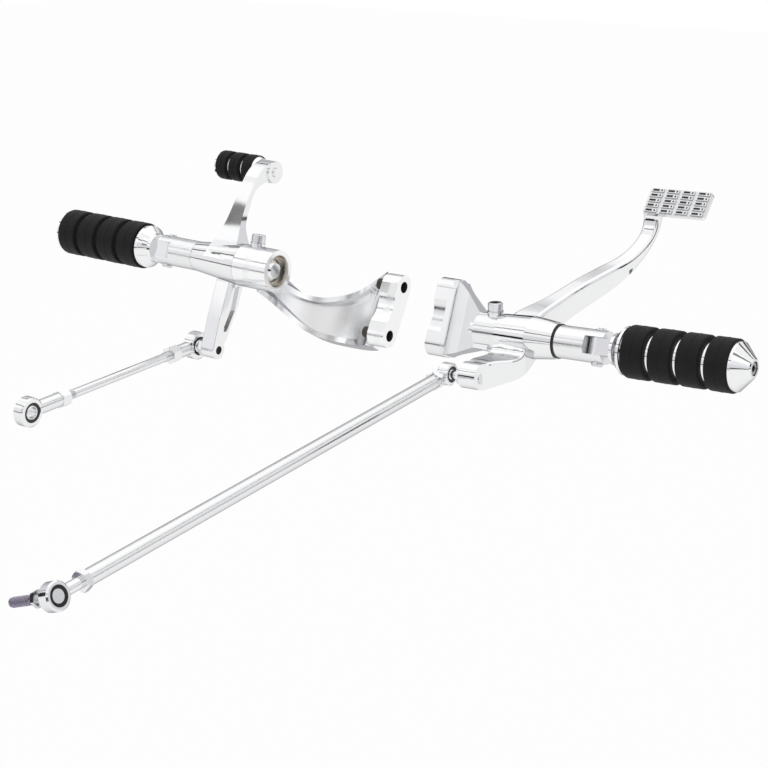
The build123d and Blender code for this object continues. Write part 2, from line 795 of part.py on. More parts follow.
with BuildPart() as shift_lever:
    add(toe_arm.part)
    add(rod_arm.part)
    with BuildSketch(across(left, toe_eye_out)):
        with Locations(toe_axis):
            Circle(toe_eye_d / 2)
    toe_eye = extrude(amount=toe_eye_out - toe_eye_in)
    hub_cone = [(hub_in, 0), (hub_in, barrel_d / 2), (hub_out, lever_hub_small_d / 2), (hub_out, 0)]
    add(turned(left, hub_cone).part)
    add(sleeve(left, hub_in, hub_out, bush_d).part, mode=Mode.SUBTRACT)
    with BuildSketch(across(left, toe_eye_out)):
        with Locations(toe_axis):
            Circle(toe_stud_d / 2)
    extrude(amount=toe_eye_out - toe_eye_in, mode=Mode.SUBTRACT)
    with BuildSketch(across(left, lever_mid + lower_arm_w / 2)):
        with Locations(lower_eye):
            Circle(shift_rod_d / 2)
    extrude(amount=lower_arm_w, mode=Mode.SUBTRACT)
finish(shift_lever, "shift_lever")
finish(sleeve(left, hub_in, hub_out, bush_d, shaft_d + 2 * running_gap), "shift_lever_bush")


# Toe peg: a stud through the lever's eye, with a washer, three rubber rings on a core and a cap
toe = Plane(origin=place(left, 0, *toe_axis), x_dir=left.x_dir, z_dir=left.z_dir)
toe_rings_at = toe_eye_out + toe_flange_t
toe_end = toe_rings_at + (toe_rings - 1) * toe_ring_pitch + toe_ring_w
toe_outline = [(toe_eye_in - 1.5, 0), (toe_eye_in - 1.5, toe_stud_d / 2), (toe_eye_out, toe_stud_d / 2)]
toe_outline += [(toe_eye_out, toe_ring_d / 2 - 2.5), (toe_rings_at, toe_ring_d / 2 - 1)]
for number in range(toe_rings):
    start = toe_rings_at + number * toe_ring_pitch
    toe_outline += [(start, toe_core_d / 2 - 2), (start + toe_ring_w, toe_core_d / 2 - 2)]
    if number < toe_rings - 1:
        toe_outline += [(start + toe_ring_w, toe_core_d / 2)]
        toe_outline += [(start + toe_ring_pitch, toe_core_d / 2)]
toe_outline += [(toe_end, 0)]
finish(turned(toe, toe_outline), "toe_peg_core")
for number in range(toe_rings):
    start = toe_rings_at + number * toe_ring_pitch
    toe_ring = sleeve(toe, start, start + toe_ring_w, toe_ring_d, toe_core_d - 4)
    with toe_ring:
        rims = toe_ring.edges().filter_by(GeomType.CIRCLE).filter_by(lambda edge: edge.radius > toe_core_d / 2)
        fillet(rims, radius=ring_round * 0.7)
    finish(toe_ring, "toe_peg_ring_" + str(number + 1))
toe_cap_outline = [(toe_end, 0), (toe_end, toe_ring_d / 2 - 1), (toe_end + 1.5, toe_ring_d / 2 - 1)]
toe_cap_outline += [(toe_end + toe_cap_t, toe_ring_d / 4), (toe_end + toe_cap_t, 0)]
finish(turned(toe, toe_cap_outline), "toe_peg_cap")


# Brake pedal: a hub, a forward arm that leans outboard and rises to a tread, and a lever for the rod
pedal_hub_in = right_tube_end + end_gap
pedal_hub_out = right_seam - seal_t - end_gap
tread_way = math.radians(tread_tilt)
tread = Plane(
    origin=place(right, tread_mid, *tread_centre),
    x_dir=right.z_dir,
    z_dir=forward * -math.sin(tread_way) + right.y_dir * math.cos(tread_way),
)
plan = Plane(origin=right.origin, x_dir=right.z_dir, z_dir=right.y_dir)
with BuildPart() as brake_lever:
    with BuildSketch(across(right, brake_eye_in)):
        with BuildLine():
            Spline(*brake_lever_top)
            ThreePointArc(
                brake_lever_top[-1],
                (brake_eye[0] - brake_eye_r, brake_eye[1]),
                brake_lever_bottom[0],
            )
            Spline(*brake_lever_bottom)
            Line(brake_lever_bottom[-1], (-brake_lever_top[0][0], brake_lever_top[0][1]))
            Line((-brake_lever_top[0][0], brake_lever_top[0][1]), brake_lever_top[0])
        make_face()
    extrude(amount=brake_web_out - brake_eye_in)
    with BuildSketch(plan):
        with BuildLine():
            Spline(*brake_lever_outboard)
            Line(brake_lever_outboard[-1], brake_lever_inboard[-1])
            Spline(*brake_lever_inboard)
            Line(brake_lever_inboard[0], brake_lever_outboard[0])
        make_face()
    extrude(amount=pedal_reach, both=True, mode=Mode.INTERSECT)
    rear_corner = place(right, brake_web_out, -32, -12)
    fillet(brake_lever.edges().sort_by_distance(rear_corner)[0], radius=brake_lever_round)

with BuildPart() as pedal_arm:
    with BuildSketch(across(right, pedal_hub_in)):
        with BuildLine():
            Spline(*arm_top)
            Line(arm_top[-1], arm_bottom[0])
            Spline(*arm_bottom)
            Line(arm_bottom[-1], arm_top[0])
        make_face()
    extrude(amount=pedal_reach)
    with BuildSketch(plan):
        with BuildLine():
            Spline(*arm_inboard)
            Line(arm_inboard[-1], arm_outboard[0])
            Spline(*arm_outboard)
            Line(arm_outboard[-1], arm_inboard[0])
        make_face()
    extrude(amount=pedal_reach, both=True, mode=Mode.INTERSECT)
    fillet(pedal_arm.edges().filter_by(lambda edge: edge.length > pedal_reach / 2), radius=arm_round)

with BuildPart() as arm_hollow:
    under_bead = [(ahead, up - arm_bead) for ahead, up in arm_top if arm_recess_start < ahead < arm_recess_end]
    with BuildSketch(across(right, pedal_hub_in)):
        with BuildLine():
            Spline(*under_bead)
            Line(under_bead[-1], (pedal_reach, arm_recess_foot))
            Line((pedal_reach, arm_recess_foot), (under_bead[0][0], arm_recess_foot))
            Line((under_bead[0][0], arm_recess_foot), under_bead[0])
        make_face()
    extrude(amount=pedal_reach)
    with BuildSketch(plan):
        with BuildLine():
            recess_side = [(out - arm_recess, ahead) for out, ahead in arm_outboard]
            Spline(*recess_side)
            Line(recess_side[-1], (pedal_reach * 2, recess_side[-1][1]))
            Line((pedal_reach * 2, recess_side[-1][1]), (pedal_reach * 2, recess_side[0][1]))
            Line((pedal_reach * 2, recess_side[0][1]), recess_side[0])
        make_face()
    extrude(amount=pedal_reach, both=True, mode=Mode.INTERSECT)

with BuildPart() as brake_pedal:
    add(pedal_arm.part)
    add(arm_hollow.part, mode=Mode.SUBTRACT)
    with BuildSketch(tread):
        RectangleRounded(tread_length, tread_width, tread_corner_r)
    extrude(amount=-tread_t)
    with BuildSketch(tread):
        with GridLocations(tread_length / tread_columns, tread_width / tread_rows, tread_columns, tread_rows):
            Rectangle(tread_block[0], tread_block[1])
    extrude(amount=tread_block[2])
    add(brake_lever.part)
    pedal_cone = [
        (pedal_hub_in, 0),
        (pedal_hub_in, pedal_hub_inner_d / 2),
        (pedal_hub_swell_at, pedal_hub_swell_d / 2),
        (pedal_hub_out, pedal_hub_outer_d / 2),
        (pedal_hub_out, 0),
    ]
    add(turned(right, pedal_cone).part)
    add(sleeve(right, pedal_hub_in, pedal_hub_out, bush_d).part, mode=Mode.SUBTRACT)
    with BuildSketch(across(right, brake_eye_in)):
        with Locations(brake_eye):
            Circle(brake_stud_d / 2)
    extrude(amount=brake_eye_out - brake_eye_in, mode=Mode.SUBTRACT)
finish(brake_pedal, "brake_pedal")
finish(sleeve(right, pedal_hub_in, pedal_hub_out, bush_d, shaft_d + 2 * running_gap), "pedal_bush")


def rod_plane(side, out, eye, slope, along, from_far_end=False, roll=0.0):
    """The plane of a rod's eye: x runs along the rod to its other end and z along the eye's bore."""
    fall = math.radians(slope)
    way = forward * -math.cos(fall) + side.y_dir * -math.sin(fall)
    rise_way = side.y_dir * math.cos(fall) + forward * -math.sin(fall)
    turn = math.radians(roll)
    origin = place(side, out, *eye)
    bore_way = side.z_dir * math.cos(turn) + rise_way * math.sin(turn)
    if from_far_end:
        return Plane(origin=origin + way * along, x_dir=way * -1, z_dir=bore_way)
    return Plane(origin=origin, x_dir=way, z_dir=bore_way)


def stem_plane(eye_plane, along):
    """The plane across a rod at a distance from an eye's centre, facing along the rod."""
    return Plane(
        origin=eye_plane.origin + eye_plane.x_dir * along, x_dir=eye_plane.y_dir, z_dir=eye_plane.x_dir
    )


def rod_end(eye_plane, head_d, head_w, liner_d, neck_d, neck_end, socket_d=0.0):
    """A rod end: an eye bored for its liner, and a neck that is drilled for a rod or enters a tube."""
    with BuildPart() as piece:
        with BuildSketch(eye_plane.offset(-head_w / 2)):
            Circle(head_d / 2)
        extrude(amount=head_w)
        chamfer(piece.edges().filter_by(GeomType.CIRCLE), length=head_w * 0.12)
        with BuildSketch(stem_plane(eye_plane, 0)):
            Circle(neck_d / 2)
        extrude(amount=neck_end)
        with BuildSketch(eye_plane.offset(-head_w)):
            Circle(liner_d / 2)
        extrude(amount=head_w * 2, mode=Mode.SUBTRACT)
        if socket_d:
            with BuildSketch(stem_plane(eye_plane, neck_end)):
                Circle(socket_d / 2)
            extrude(amount=-socket_depth, mode=Mode.SUBTRACT)
    return piece


def eye_liner(eye_plane, head_w, liner_d, ball_d):
    """The black liner pressed into an eye, hollowed to the ball."""
    with BuildPart() as piece:
        with BuildSketch(eye_plane.offset(-head_w * 0.44)):
            Circle(liner_d / 2)
        extrude(amount=head_w * 0.88)
        with Locations(eye_plane):
            Sphere(ball_d / 2 + running_gap, mode=Mode.SUBTRACT)
    return piece


def hex_nut(eye_plane, start, length, flats, bore_d):
    """A jam nut on a rod, with its corners turned back."""
    with BuildPart() as piece:
        with BuildSketch(stem_plane(eye_plane, start)):
            RegularPolygon(flats / 2, 6, major_radius=False)
            Circle(bore_d / 2, mode=Mode.SUBTRACT)
        extrude(amount=length)
        with BuildSketch(Plane(origin=stem_plane(eye_plane, start).origin, x_dir=eye_plane.x_dir, z_dir=eye_plane.z_dir)):
            with BuildLine():
                Polyline(
                    (0, 0),
                    (0, flats / 2),
                    (nut_turned, flats / 2 + nut_corner),
                    (length - nut_turned, flats / 2 + nut_corner),
                    (length, flats / 2),
                    (length, 0),
                    close=True,
                )
            make_face()
        revolve(axis=Axis(eye_plane.origin, eye_plane.x_dir), mode=Mode.INTERSECT)
    return piece


def round_bar(eye_plane, start, end, outer_d, inner_d=0.0):
    """A plain bar or tube along a rod, between two distances from an eye's centre."""
    with BuildPart() as piece:
        with BuildSketch(stem_plane(eye_plane, start)):
            Circle(outer_d / 2)
            if inner_d:
                Circle(inner_d / 2, mode=Mode.SUBTRACT)
        extrude(amount=end - start)
    return piece


# Shift rod: a bar with an eye screwed and jammed on each end
shift_near = rod_plane(left, shift_rod_out, lower_eye, shift_rod_slope, shift_rod_length)
shift_far = rod_plane(left, shift_rod_out, lower_eye, shift_rod_slope, shift_rod_length, from_far_end=True)
shift_ends = [("near", shift_near, shift_near_neck), ("far", shift_far, shift_far_neck)]
for end_name, eye, neck_end in shift_ends:
    end = rod_end(eye, shift_head_d, shift_head_w, shift_liner_d, shift_neck_d, neck_end, shift_rod_d)
    finish(end, "shift_rod_end_" + end_name)
    finish(eye_liner(eye, shift_head_w, shift_liner_d, shift_ball_d), "shift_liner_" + end_name)
    finish(hex_nut(eye, neck_end, shift_nut_w, nut_flats, shift_rod_d), "shift_jam_nut_" + end_name)
rod_start = shift_near_neck - socket_depth * 0.8
rod_finish = shift_rod_length - shift_far_neck + socket_depth * 0.8
finish(round_bar(shift_near, rod_start, rod_finish, shift_rod_d), "shift_rod")

# Bored ball in the far eye of the shift rod, for the bolt of the gearbox lever
with BuildPart() as shift_far_ball:
    with BuildSketch(Plane(origin=shift_far.origin, x_dir=shift_far.z_dir, z_dir=shift_far.y_dir)):
        half = shift_ball_d / 2 * ball_side
        side_r = math.sqrt((shift_ball_d / 2) ** 2 - half**2)
        with BuildLine():
            ThreePointArc((-half, side_r), (0, shift_ball_d / 2), (half, side_r))
            Polyline((half, side_r), (half, shift_ball_bore_d / 2), (-half, shift_ball_bore_d / 2), (-half, side_r))
        make_face()
    revolve(axis=Axis(shift_far.origin, shift_far.z_dir))
finish(shift_far_ball, "shift_far_ball")


def ball_stud(eye_plane, ball_d, face_at, neck_d, collar_w, collar_flats, shank_d, shank_end):
    """A ball on a stud: a neck, a hex collar that seats on a face, and a shank past it."""
    flat_at = ball_d / 2 * ball_side
    with BuildPart() as piece:
        with Locations(eye_plane):
            Sphere(ball_d / 2)
        with BuildSketch(eye_plane.offset(-ball_d)):
            Circle(ball_d)
        extrude(amount=ball_d - flat_at, mode=Mode.SUBTRACT)
        with BuildSketch(eye_plane):
            Circle(neck_d / 2)
        extrude(amount=face_at)
        with BuildSketch(eye_plane.offset(face_at - collar_w)):
            RegularPolygon(collar_flats / 2, 6, major_radius=False)
        extrude(amount=collar_w)
        with BuildSketch(eye_plane.offset(face_at)):
            Circle(shank_d / 2)
        extrude(amount=shank_end - face_at)
    return piece


def facing(plane, sense):
    """The same plane turned over about its x where the stud leaves on its other side."""
    return Plane(origin=plane.origin, x_dir=plane.x_dir, z_dir=plane.z_dir * sense)


# Ball stud screwed into the foot of the shift lever
shift_stud = ball_stud(
    facing(shift_near, -1),
    shift_ball_d,
    shift_rod_out - lever_mid - lower_arm_w / 2,
    brake_stud_neck_d,
    brake_stud_collar_w,
    nut_flats,
    shift_rod_d,
    shift_rod_out - lever_mid + lower_arm_w / 2 - 1,
)
finish(shift_stud, "shift_ball_stud")

# Brake rod: a long tube with a screwed eye and a jam nut at each end
brake_near = rod_plane(right, brake_rod_out, brake_eye, brake_rod_slope, brake_rod_length)
brake_far = rod_plane(
    right, brake_rod_out, brake_eye, brake_rod_slope, brake_rod_length, True, brake_head_roll
)
brake_ends = [("near", brake_near, brake_near_head_d, brake_near_liner_d, brake_near_ball_d, brake_near_tube)]
brake_ends += [("far", brake_far, brake_far_head_d, brake_far_liner_d, brake_far_ball_d, brake_far_tube)]
for end_name, eye, head_d, liner_d, ball_d, tube_at in brake_ends:
    end = rod_end(eye, head_d, brake_head_w, liner_d, brake_thread_d, tube_at + brake_thread_reach)
    finish(end, "brake_rod_end_" + end_name)
    finish(eye_liner(eye, brake_head_w, liner_d, ball_d), "brake_liner_" + end_name)
    nut_at = tube_at - brake_nut_w
    finish(hex_nut(eye, nut_at, brake_nut_w, nut_flats, brake_thread_d), "brake_jam_nut_" + end_name)
tube_finish = brake_rod_length - brake_far_tube
finish(round_bar(brake_near, brake_near_tube, tube_finish, brake_rod_d, brake_thread_d), "brake_rod_tube")

# Ball stud in the pedal's lever, and the stud in the far eye that screws to the master cylinder's lever
brake_stud = ball_stud(
    brake_near,
    brake_near_ball_d,
    brake_eye_in - brake_rod_out,
    brake_stud_neck_d,
    brake_stud_collar_w,
    brake_stud_flats,
    brake_stud_d,
    brake_eye_out - brake_rod_out,
)
finish(brake_stud, "brake_ball_stud")
far_stud = ball_stud(
    facing(brake_far, -1),
    brake_far_ball_d,
    stud_collar_at + stud_collar_w,
    stud_d,
    stud_collar_w,
    stud_collar_flats,
    stud_d,
    stud_tip,
)
finish(far_stud, "brake_far_stud")
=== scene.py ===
import math

import bpy
from mathutils import Matrix, Vector


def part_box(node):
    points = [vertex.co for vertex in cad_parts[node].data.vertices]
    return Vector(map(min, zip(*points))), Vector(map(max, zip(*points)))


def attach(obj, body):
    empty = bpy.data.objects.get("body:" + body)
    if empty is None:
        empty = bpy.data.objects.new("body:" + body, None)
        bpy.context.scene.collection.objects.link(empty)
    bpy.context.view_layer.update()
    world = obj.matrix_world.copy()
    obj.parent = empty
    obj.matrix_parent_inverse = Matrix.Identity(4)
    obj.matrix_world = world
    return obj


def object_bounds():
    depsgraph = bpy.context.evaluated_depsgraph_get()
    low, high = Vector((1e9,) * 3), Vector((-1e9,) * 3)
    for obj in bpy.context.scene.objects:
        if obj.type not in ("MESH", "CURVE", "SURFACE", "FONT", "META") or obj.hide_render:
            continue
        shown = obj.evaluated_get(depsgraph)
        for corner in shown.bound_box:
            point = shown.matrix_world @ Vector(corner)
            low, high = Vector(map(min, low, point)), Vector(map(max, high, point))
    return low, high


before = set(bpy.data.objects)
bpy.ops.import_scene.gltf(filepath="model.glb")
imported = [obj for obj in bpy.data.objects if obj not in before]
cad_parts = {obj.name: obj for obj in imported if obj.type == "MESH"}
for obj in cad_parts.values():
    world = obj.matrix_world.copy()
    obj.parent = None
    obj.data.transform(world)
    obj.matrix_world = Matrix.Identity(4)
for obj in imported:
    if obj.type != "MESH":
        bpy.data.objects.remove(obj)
cad_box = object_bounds()

# Camera and studio
# The set is photographed from behind the rider's right shoulder, a little above, with a long
# lens, on a white sweep. The room itself is white to the eye and in the chrome, and dimmer as light.
view_settings = bpy.context.scene.view_settings
view_settings.view_transform = "Standard"
camera_data = bpy.data.cameras.new("camera")
camera_data.lens = 90.5
camera_data.sensor_width = 36.0
camera_data.clip_end = 50.0
camera = bpy.data.objects.new("camera", camera_data)
bpy.context.scene.collection.objects.link(camera)
camera_place = Vector((0.8366, -1.2238, 0.3633))
camera_target = Vector((-0.01434, -0.052, -0.04648))
camera.location = camera_place
camera.rotation_euler = (camera_target - camera_place).to_track_quat("-Z", "Y").to_euler()
bpy.context.scene.camera = camera

room_strength = 0.50
world = bpy.data.worlds.new("studio")
bpy.context.scene.world = world
world.use_nodes = True
sky = world.node_tree
sky.nodes.clear()
sky_out = sky.nodes.new("ShaderNodeOutputWorld")
room_light = sky.nodes.new("ShaderNodeBackground")
room_light.inputs["Color"].default_value = (1.0, 1.0, 1.0, 1.0)
room_light.inputs["Strength"].default_value = room_strength
sweep_white = sky.nodes.new("ShaderNodeBackground")
sweep_white.inputs["Color"].default_value = (1.0, 1.0, 1.0, 1.0)
sweep_white.inputs["Strength"].default_value = 1.0
sky_path = sky.nodes.new("ShaderNodeLightPath")
seen_or_mirrored = sky.nodes.new("ShaderNodeMath")
seen_or_mirrored.operation = "ADD"
seen_or_mirrored.use_clamp = True
seen_at_all = sky.nodes.new("ShaderNodeMath")
seen_at_all.operation = "ADD"
seen_at_all.use_clamp = True
sky_choice = sky.nodes.new("ShaderNodeMixShader")
sky.links.new(sky_path.outputs["Is Camera Ray"], seen_or_mirrored.inputs[0])
sky.links.new(sky_path.outputs["Is Glossy Ray"], seen_or_mirrored.inputs[1])
sky.links.new(seen_or_mirrored.outputs[0], seen_at_all.inputs[0])
sky.links.new(sky_path.outputs["Is Transmission Ray"], seen_at_all.inputs[1])
sky.links.new(seen_at_all.outputs[0], sky_choice.inputs["Fac"])
sky.links.new(room_light.outputs[0], sky_choice.inputs[1])
sky.links.new(sweep_white.outputs[0], sky_choice.inputs[2])
sky.links.new(sky_choice.outputs[0], sky_out.inputs["Surface"])

# Floor
# A white sheet of card under the set, low enough for both rods to swing down above it. It reads
# as plain white, to the eye and in the chrome, apart from the soft shadow.
rod_swing_room = 0.30
floor_width = 12.0
floor_height = cad_box[0][2] - rod_swing_room
bpy.ops.object.select_all(action="DESELECT")
bpy.ops.mesh.primitive_plane_add(size=floor_width, location=(0.0, 0.0, floor_height))
floor = bpy.context.object
floor.name = "floor"
floor_paint = bpy.data.materials.new("floor_card")
floor_paint.use_nodes = True
tree = floor_paint.node_tree
floor_shader = tree.nodes["Principled BSDF"]
floor_shader.inputs["Base Color"].default_value = (0.95, 0.95, 0.95, 1.0)
floor_shader.inputs["Roughness"].default_value = 0.9
floor_shader.inputs["Specular IOR Level"].default_value = 0.0
floor_white = tree.nodes.new("ShaderNodeEmission")
floor_white.inputs["Color"].default_value = (1.0, 1.0, 1.0, 1.0)
floor_white.inputs["Strength"].default_value = 1.0
floor_path = tree.nodes.new("ShaderNodeLightPath")
eye_or_mirror = tree.nodes.new("ShaderNodeMath")
eye_or_mirror.operation = "ADD"
eye_or_mirror.use_clamp = True
any_view = tree.nodes.new("ShaderNodeMath")
any_view.operation = "ADD"
any_view.use_clamp = True
shadow_share = tree.nodes.new("ShaderNodeMath")
shadow_share.operation = "MULTIPLY"
shadow_share.inputs[1].default_value = 0.97
floor_choice = tree.nodes.new("ShaderNodeMixShader")
tree.links.new(floor_path.outputs["Is Camera Ray"], eye_or_mirror.inputs[0])
tree.links.new(floor_path.outputs["Is Glossy Ray"], eye_or_mirror.inputs[1])
tree.links.new(eye_or_mirror.outputs[0], any_view.inputs[0])
tree.links.new(floor_path.outputs["Is Transmission Ray"], any_view.inputs[1])
tree.links.new(any_view.outputs[0], shadow_share.inputs[0])
tree.links.new(shadow_share.outputs[0], floor_choice.inputs["Fac"])
tree.links.new(floor_shader.outputs[0], floor_choice.inputs[1])
tree.links.new(floor_white.outputs[0], floor_choice.inputs[2])
tree.links.new(floor_choice.outputs[0], tree.nodes["Material Output"].inputs["Surface"])
floor.data.materials.append(floor_paint)

# Grey wall and dark flags
# Cards that stand round the set outside the view, as in a photographer's studio. They show only
# in the chrome, where the wall gives the light grey, and the rims and flags the dark lines.
foot_gap = 0.0005
card_foot = cad_box[0][2] - foot_gap
wall_h = 1.25
floor_edge_h = 0.11
card_cool = 1.03
cards = {}
for card_name, card_tone in [("wall_card", 0.77), ("rim_card", 0.07), ("flag_card", 0.012)]:
    card = bpy.data.materials.new(card_name)
    card.use_nodes = True
    tree = card.node_tree
    tree.nodes.remove(tree.nodes["Principled BSDF"])
    glow = tree.nodes.new("ShaderNodeEmission")
    glow.inputs["Color"].default_value = (card_tone, card_tone, card_tone * card_cool, 1.0)
    tree.links.new(glow.outputs[0], tree.nodes["Material Output"].inputs["Surface"])
    cards[card_name] = card
stage_cards = []
for band_name, band_card, band_r, band_h, band_level in [
    ("studio_wall", "wall_card", 3.2, wall_h, card_foot + wall_h / 2),
    # the edge of the ceiling cloth, a dark rim high over the set
    ("ceiling_rim", "rim_card", 2.6, 0.24, 1.75),
    # the edge of the floor card, a dark line low round the set
    ("floor_edge", "rim_card", 1.7, floor_edge_h, card_foot + floor_edge_h / 2),
]:
    bpy.ops.object.select_all(action="DESELECT")
    bpy.ops.mesh.primitive_cylinder_add(
        vertices=96, radius=band_r, depth=band_h, end_fill_type="NOTHING", location=(0.0, 0.0, band_level)
    )
    band = bpy.context.object
    band.name = band_name
    band.data.materials.append(cards[band_card])
    stage_cards.append(band)
flag_places = [
    # name, place on the floor, width, foot and height above the mounts' level
    ("flag_hub", (-0.42, -0.75), 0.30, -0.08, 0.15),
    ("flag_left", (-1.9, -0.9), 0.14, 0.0, 1.0),
    ("flag_back_left", (-1.2, 1.8), 0.16, 0.0, 1.0),
    ("flag_back", (0.7, 2.2), 0.40, 0.0, 0.9),
    ("flag_right", (2.2, 0.4), 0.42, 0.0, 1.2),
    ("flag_camera", (1.7, -1.5), 0.42, 0.0, 0.8),
    ("flag_behind_lens", (1.25, -2.2), 0.30, 0.1, 0.7),
]
for flag_name, flag_place, flag_width, flag_foot, flag_height in flag_places:
    bpy.ops.object.select_all(action="DESELECT")
    bpy.ops.mesh.primitive_plane_add(
        size=1.0,
        location=(flag_place[0], flag_place[1], flag_foot + flag_height / 2),
        rotation=(math.pi / 2, 0.0, math.atan2(flag_place[1], flag_place[0]) + math.pi / 2),
    )
    flag = bpy.context.object
    flag.name = flag_name
    flag.scale = (flag_width, flag_height, 1.0)
    flag.data.materials.append(cards["flag_card"])
    stage_cards.append(flag)
for card in stage_cards:
    card.visible_camera = False
    card.visible_diffuse = False
    card.visible_shadow = False
    card.visible_transmission = False

# Lamps
# A large soft box over the set and weaker ones low on the camera's right and left, all turned to
# the middle of the set.
lamp_aim = Vector((0.0, -0.1, 0.0))
for lamp_name, lamp_place, lamp_size, lamp_power in [
    ("box_above", (-0.3, 0.2, 1.6), 2.4, 3.2),
    ("box_right", (1.5, -0.4, 0.9), 1.4, 0.8),
    ("box_left", (-1.3, -1.1, 0.7), 1.4, 0.8),
]:
    lamp_data = bpy.data.lights.new(lamp_name, "AREA")
    lamp_data.size = lamp_size
    lamp_data.energy = lamp_power
    lamp = bpy.data.objects.new(lamp_name, lamp_data)
    bpy.context.scene.collection.objects.link(lamp)
    lamp.location = lamp_place
    lamp.rotation_euler = (lamp_aim - lamp.location).to_track_quat("-Z", "Y").to_euler()

# Brackets
# Two castings, ground and polished by hand before plating, so their large faces are slightly wavy
# and the gloss drifts. The pocket of the left arm has dark streaks painted near its foot, a painted dark
# reflection.
polish = bpy.data.node_groups.new("polish", "ShaderNodeTree")
for socket_name, socket_value in [
    ("Cloud Scale", 55.0),
    ("Gloss Low", 0.05),
    ("Gloss High", 0.14),
    ("Wave Scale", 28.0),
    ("Wave Depth", 0.0002),
]:
    socket = polish.interface.new_socket(name=socket_name, in_out="INPUT", socket_type="NodeSocketFloat")
    socket.default_value = socket_value
polish.interface.new_socket(name="Roughness", in_out="OUTPUT", socket_type="NodeSocketFloat")
polish.interface.new_socket(name="Normal", in_out="OUTPUT", socket_type="NodeSocketVector")
polish_in = polish.nodes.new("NodeGroupInput")
polish_out = polish.nodes.new("NodeGroupOutput")
polish_place = polish.nodes.new("ShaderNodeTexCoord")
cloud = polish.nodes.new("ShaderNodeTexNoise")
cloud.inputs["Detail"].default_value = 4.0
gloss = polish.nodes.new("ShaderNodeMapRange")
wave = polish.nodes.new("ShaderNodeTexNoise")
wave.inputs["Detail"].default_value = 1.0
wave_bump = polish.nodes.new("ShaderNodeBump")
wave_bump.inputs["Strength"].default_value = 0.35
polish.links.new(polish_place.outputs["Object"], cloud.inputs["Vector"])
polish.links.new(polish_in.outputs["Cloud Scale"], cloud.inputs["Scale"])
polish.links.new(cloud.outputs["Fac"], gloss.inputs["Value"])
polish.links.new(polish_in.outputs["Gloss Low"], gloss.inputs["To Min"])
polish.links.new(polish_in.outputs["Gloss High"], gloss.inputs["To Max"])
polish.links.new(gloss.outputs["Result"], polish_out.inputs["Roughness"])
polish.links.new(polish_place.outputs["Object"], wave.inputs["Vector"])
polish.links.new(polish_in.outputs["Wave Scale"], wave.inputs["Scale"])
polish.links.new(wave.outputs["Fac"], wave_bump.inputs["Height"])
polish.links.new(polish_in.outputs["Wave Depth"], wave_bump.inputs["Distance"])
polish.links.new(wave_bump.outputs["Normal"], polish_out.inputs["Normal"])

chrome_colour = (0.87, 0.873, 0.88)
chrome_tint = (0.42, 0.42, 0.44, 1.0)


def plated(name, colour, polish_values, tint=chrome_tint):
    """A plated metal: its colour, and how far its polish drifts."""
    metal = bpy.data.materials.new(name)
    metal.use_nodes = True
    metal_tree = metal.node_tree
    metal_shader = metal_tree.nodes["Principled BSDF"]
    metal_shader.inputs["Base Color"].default_value = (*colour, 1.0)
    metal_shader.inputs["Metallic"].default_value = 1.0
    metal_shader.inputs["Specular Tint"].default_value = tint
    marks = metal_tree.nodes.new("ShaderNodeGroup")
    marks.node_tree = polish
    for value_name, value in polish_values.items():
        marks.inputs[value_name].default_value = value
    metal_tree.links.new(marks.outputs["Roughness"], metal_shader.inputs["Roughness"])
    metal_tree.links.new(marks.outputs["Normal"], metal_shader.inputs["Normal"])
    return metal


def polish_marks(metal):
    """The polish group inside a plated metal."""
    return [node for node in metal.node_tree.nodes if node.type == "GROUP"][0]


def finish_nodes(metal, *names):
    """Gives CAD nodes their finish."""
    for node_name in names:
        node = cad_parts[node_name]
        node.data.materials.clear()
        node.data.materials.append(metal)


casting_chrome = plated(
    "casting_chrome",
    chrome_colour,
    {"Cloud Scale": 60.0, "Gloss Low": 0.04, "Gloss High": 0.13, "Wave Scale": 24.0, "Wave Depth": 0.00022},
)
bracket_chrome = plated(
    "bracket_chrome",
    (0.85, 0.853, 0.86),
    {"Cloud Scale": 60.0, "Gloss Low": 0.14, "Gloss High": 0.24, "Wave Scale": 30.0, "Wave Depth": 0.00022},
)
finish_nodes(bracket_chrome, "right_bracket")

# The left casting is blasted in its arm's pocket. Where the pocket meets the foot, dark streaks are
# painted into its colour, a painted dark reflection, and the rest of its colour is painted lighter than
# the other castings, painted light. The pocket is what lies about 62 mm from the axis that the arm bends
# round.
left_chrome = casting_chrome.copy()
left_chrome.name = "left_casting_chrome_painted_light"
tree = left_chrome.node_tree
left_shader = tree.nodes["Principled BSDF"]
left_marks = polish_marks(left_chrome)
left_marks.inputs["Gloss Low"].default_value = 0.10
left_marks.inputs["Gloss High"].default_value = 0.20
left_coords = tree.nodes.new("ShaderNodeTexCoord")
streak_turn = tree.nodes.new("ShaderNodeMapping")
streak_turn.inputs["Rotation"].default_value = (0.5, 0.0, 0.55)
streak_turn.inputs["Scale"].default_value = (950.0, 60.0, 60.0)
streak_lines = tree.nodes.new("ShaderNodeTexNoise")
streak_lines.inputs["Scale"].default_value = 1.0
streak_lines.inputs["Detail"].default_value = 3.0
painted_streak_spot = tree.nodes.new("ShaderNodeVectorMath")
painted_streak_spot.operation = "DISTANCE"
painted_streak_spot.inputs[1].default_value = (-0.094, 0.054, 0.002)
painted_streak_reach = tree.nodes.new("ShaderNodeMapRange")
painted_streak_reach.inputs["From Min"].default_value = 0.008
painted_streak_reach.inputs["From Max"].default_value = 0.024
painted_streak_reach.inputs["To Min"].default_value = 1.0
painted_streak_reach.inputs["To Max"].default_value = 0.0
painted_streak_mask = tree.nodes.new("ShaderNodeMath")
painted_streak_mask.operation = "MULTIPLY"
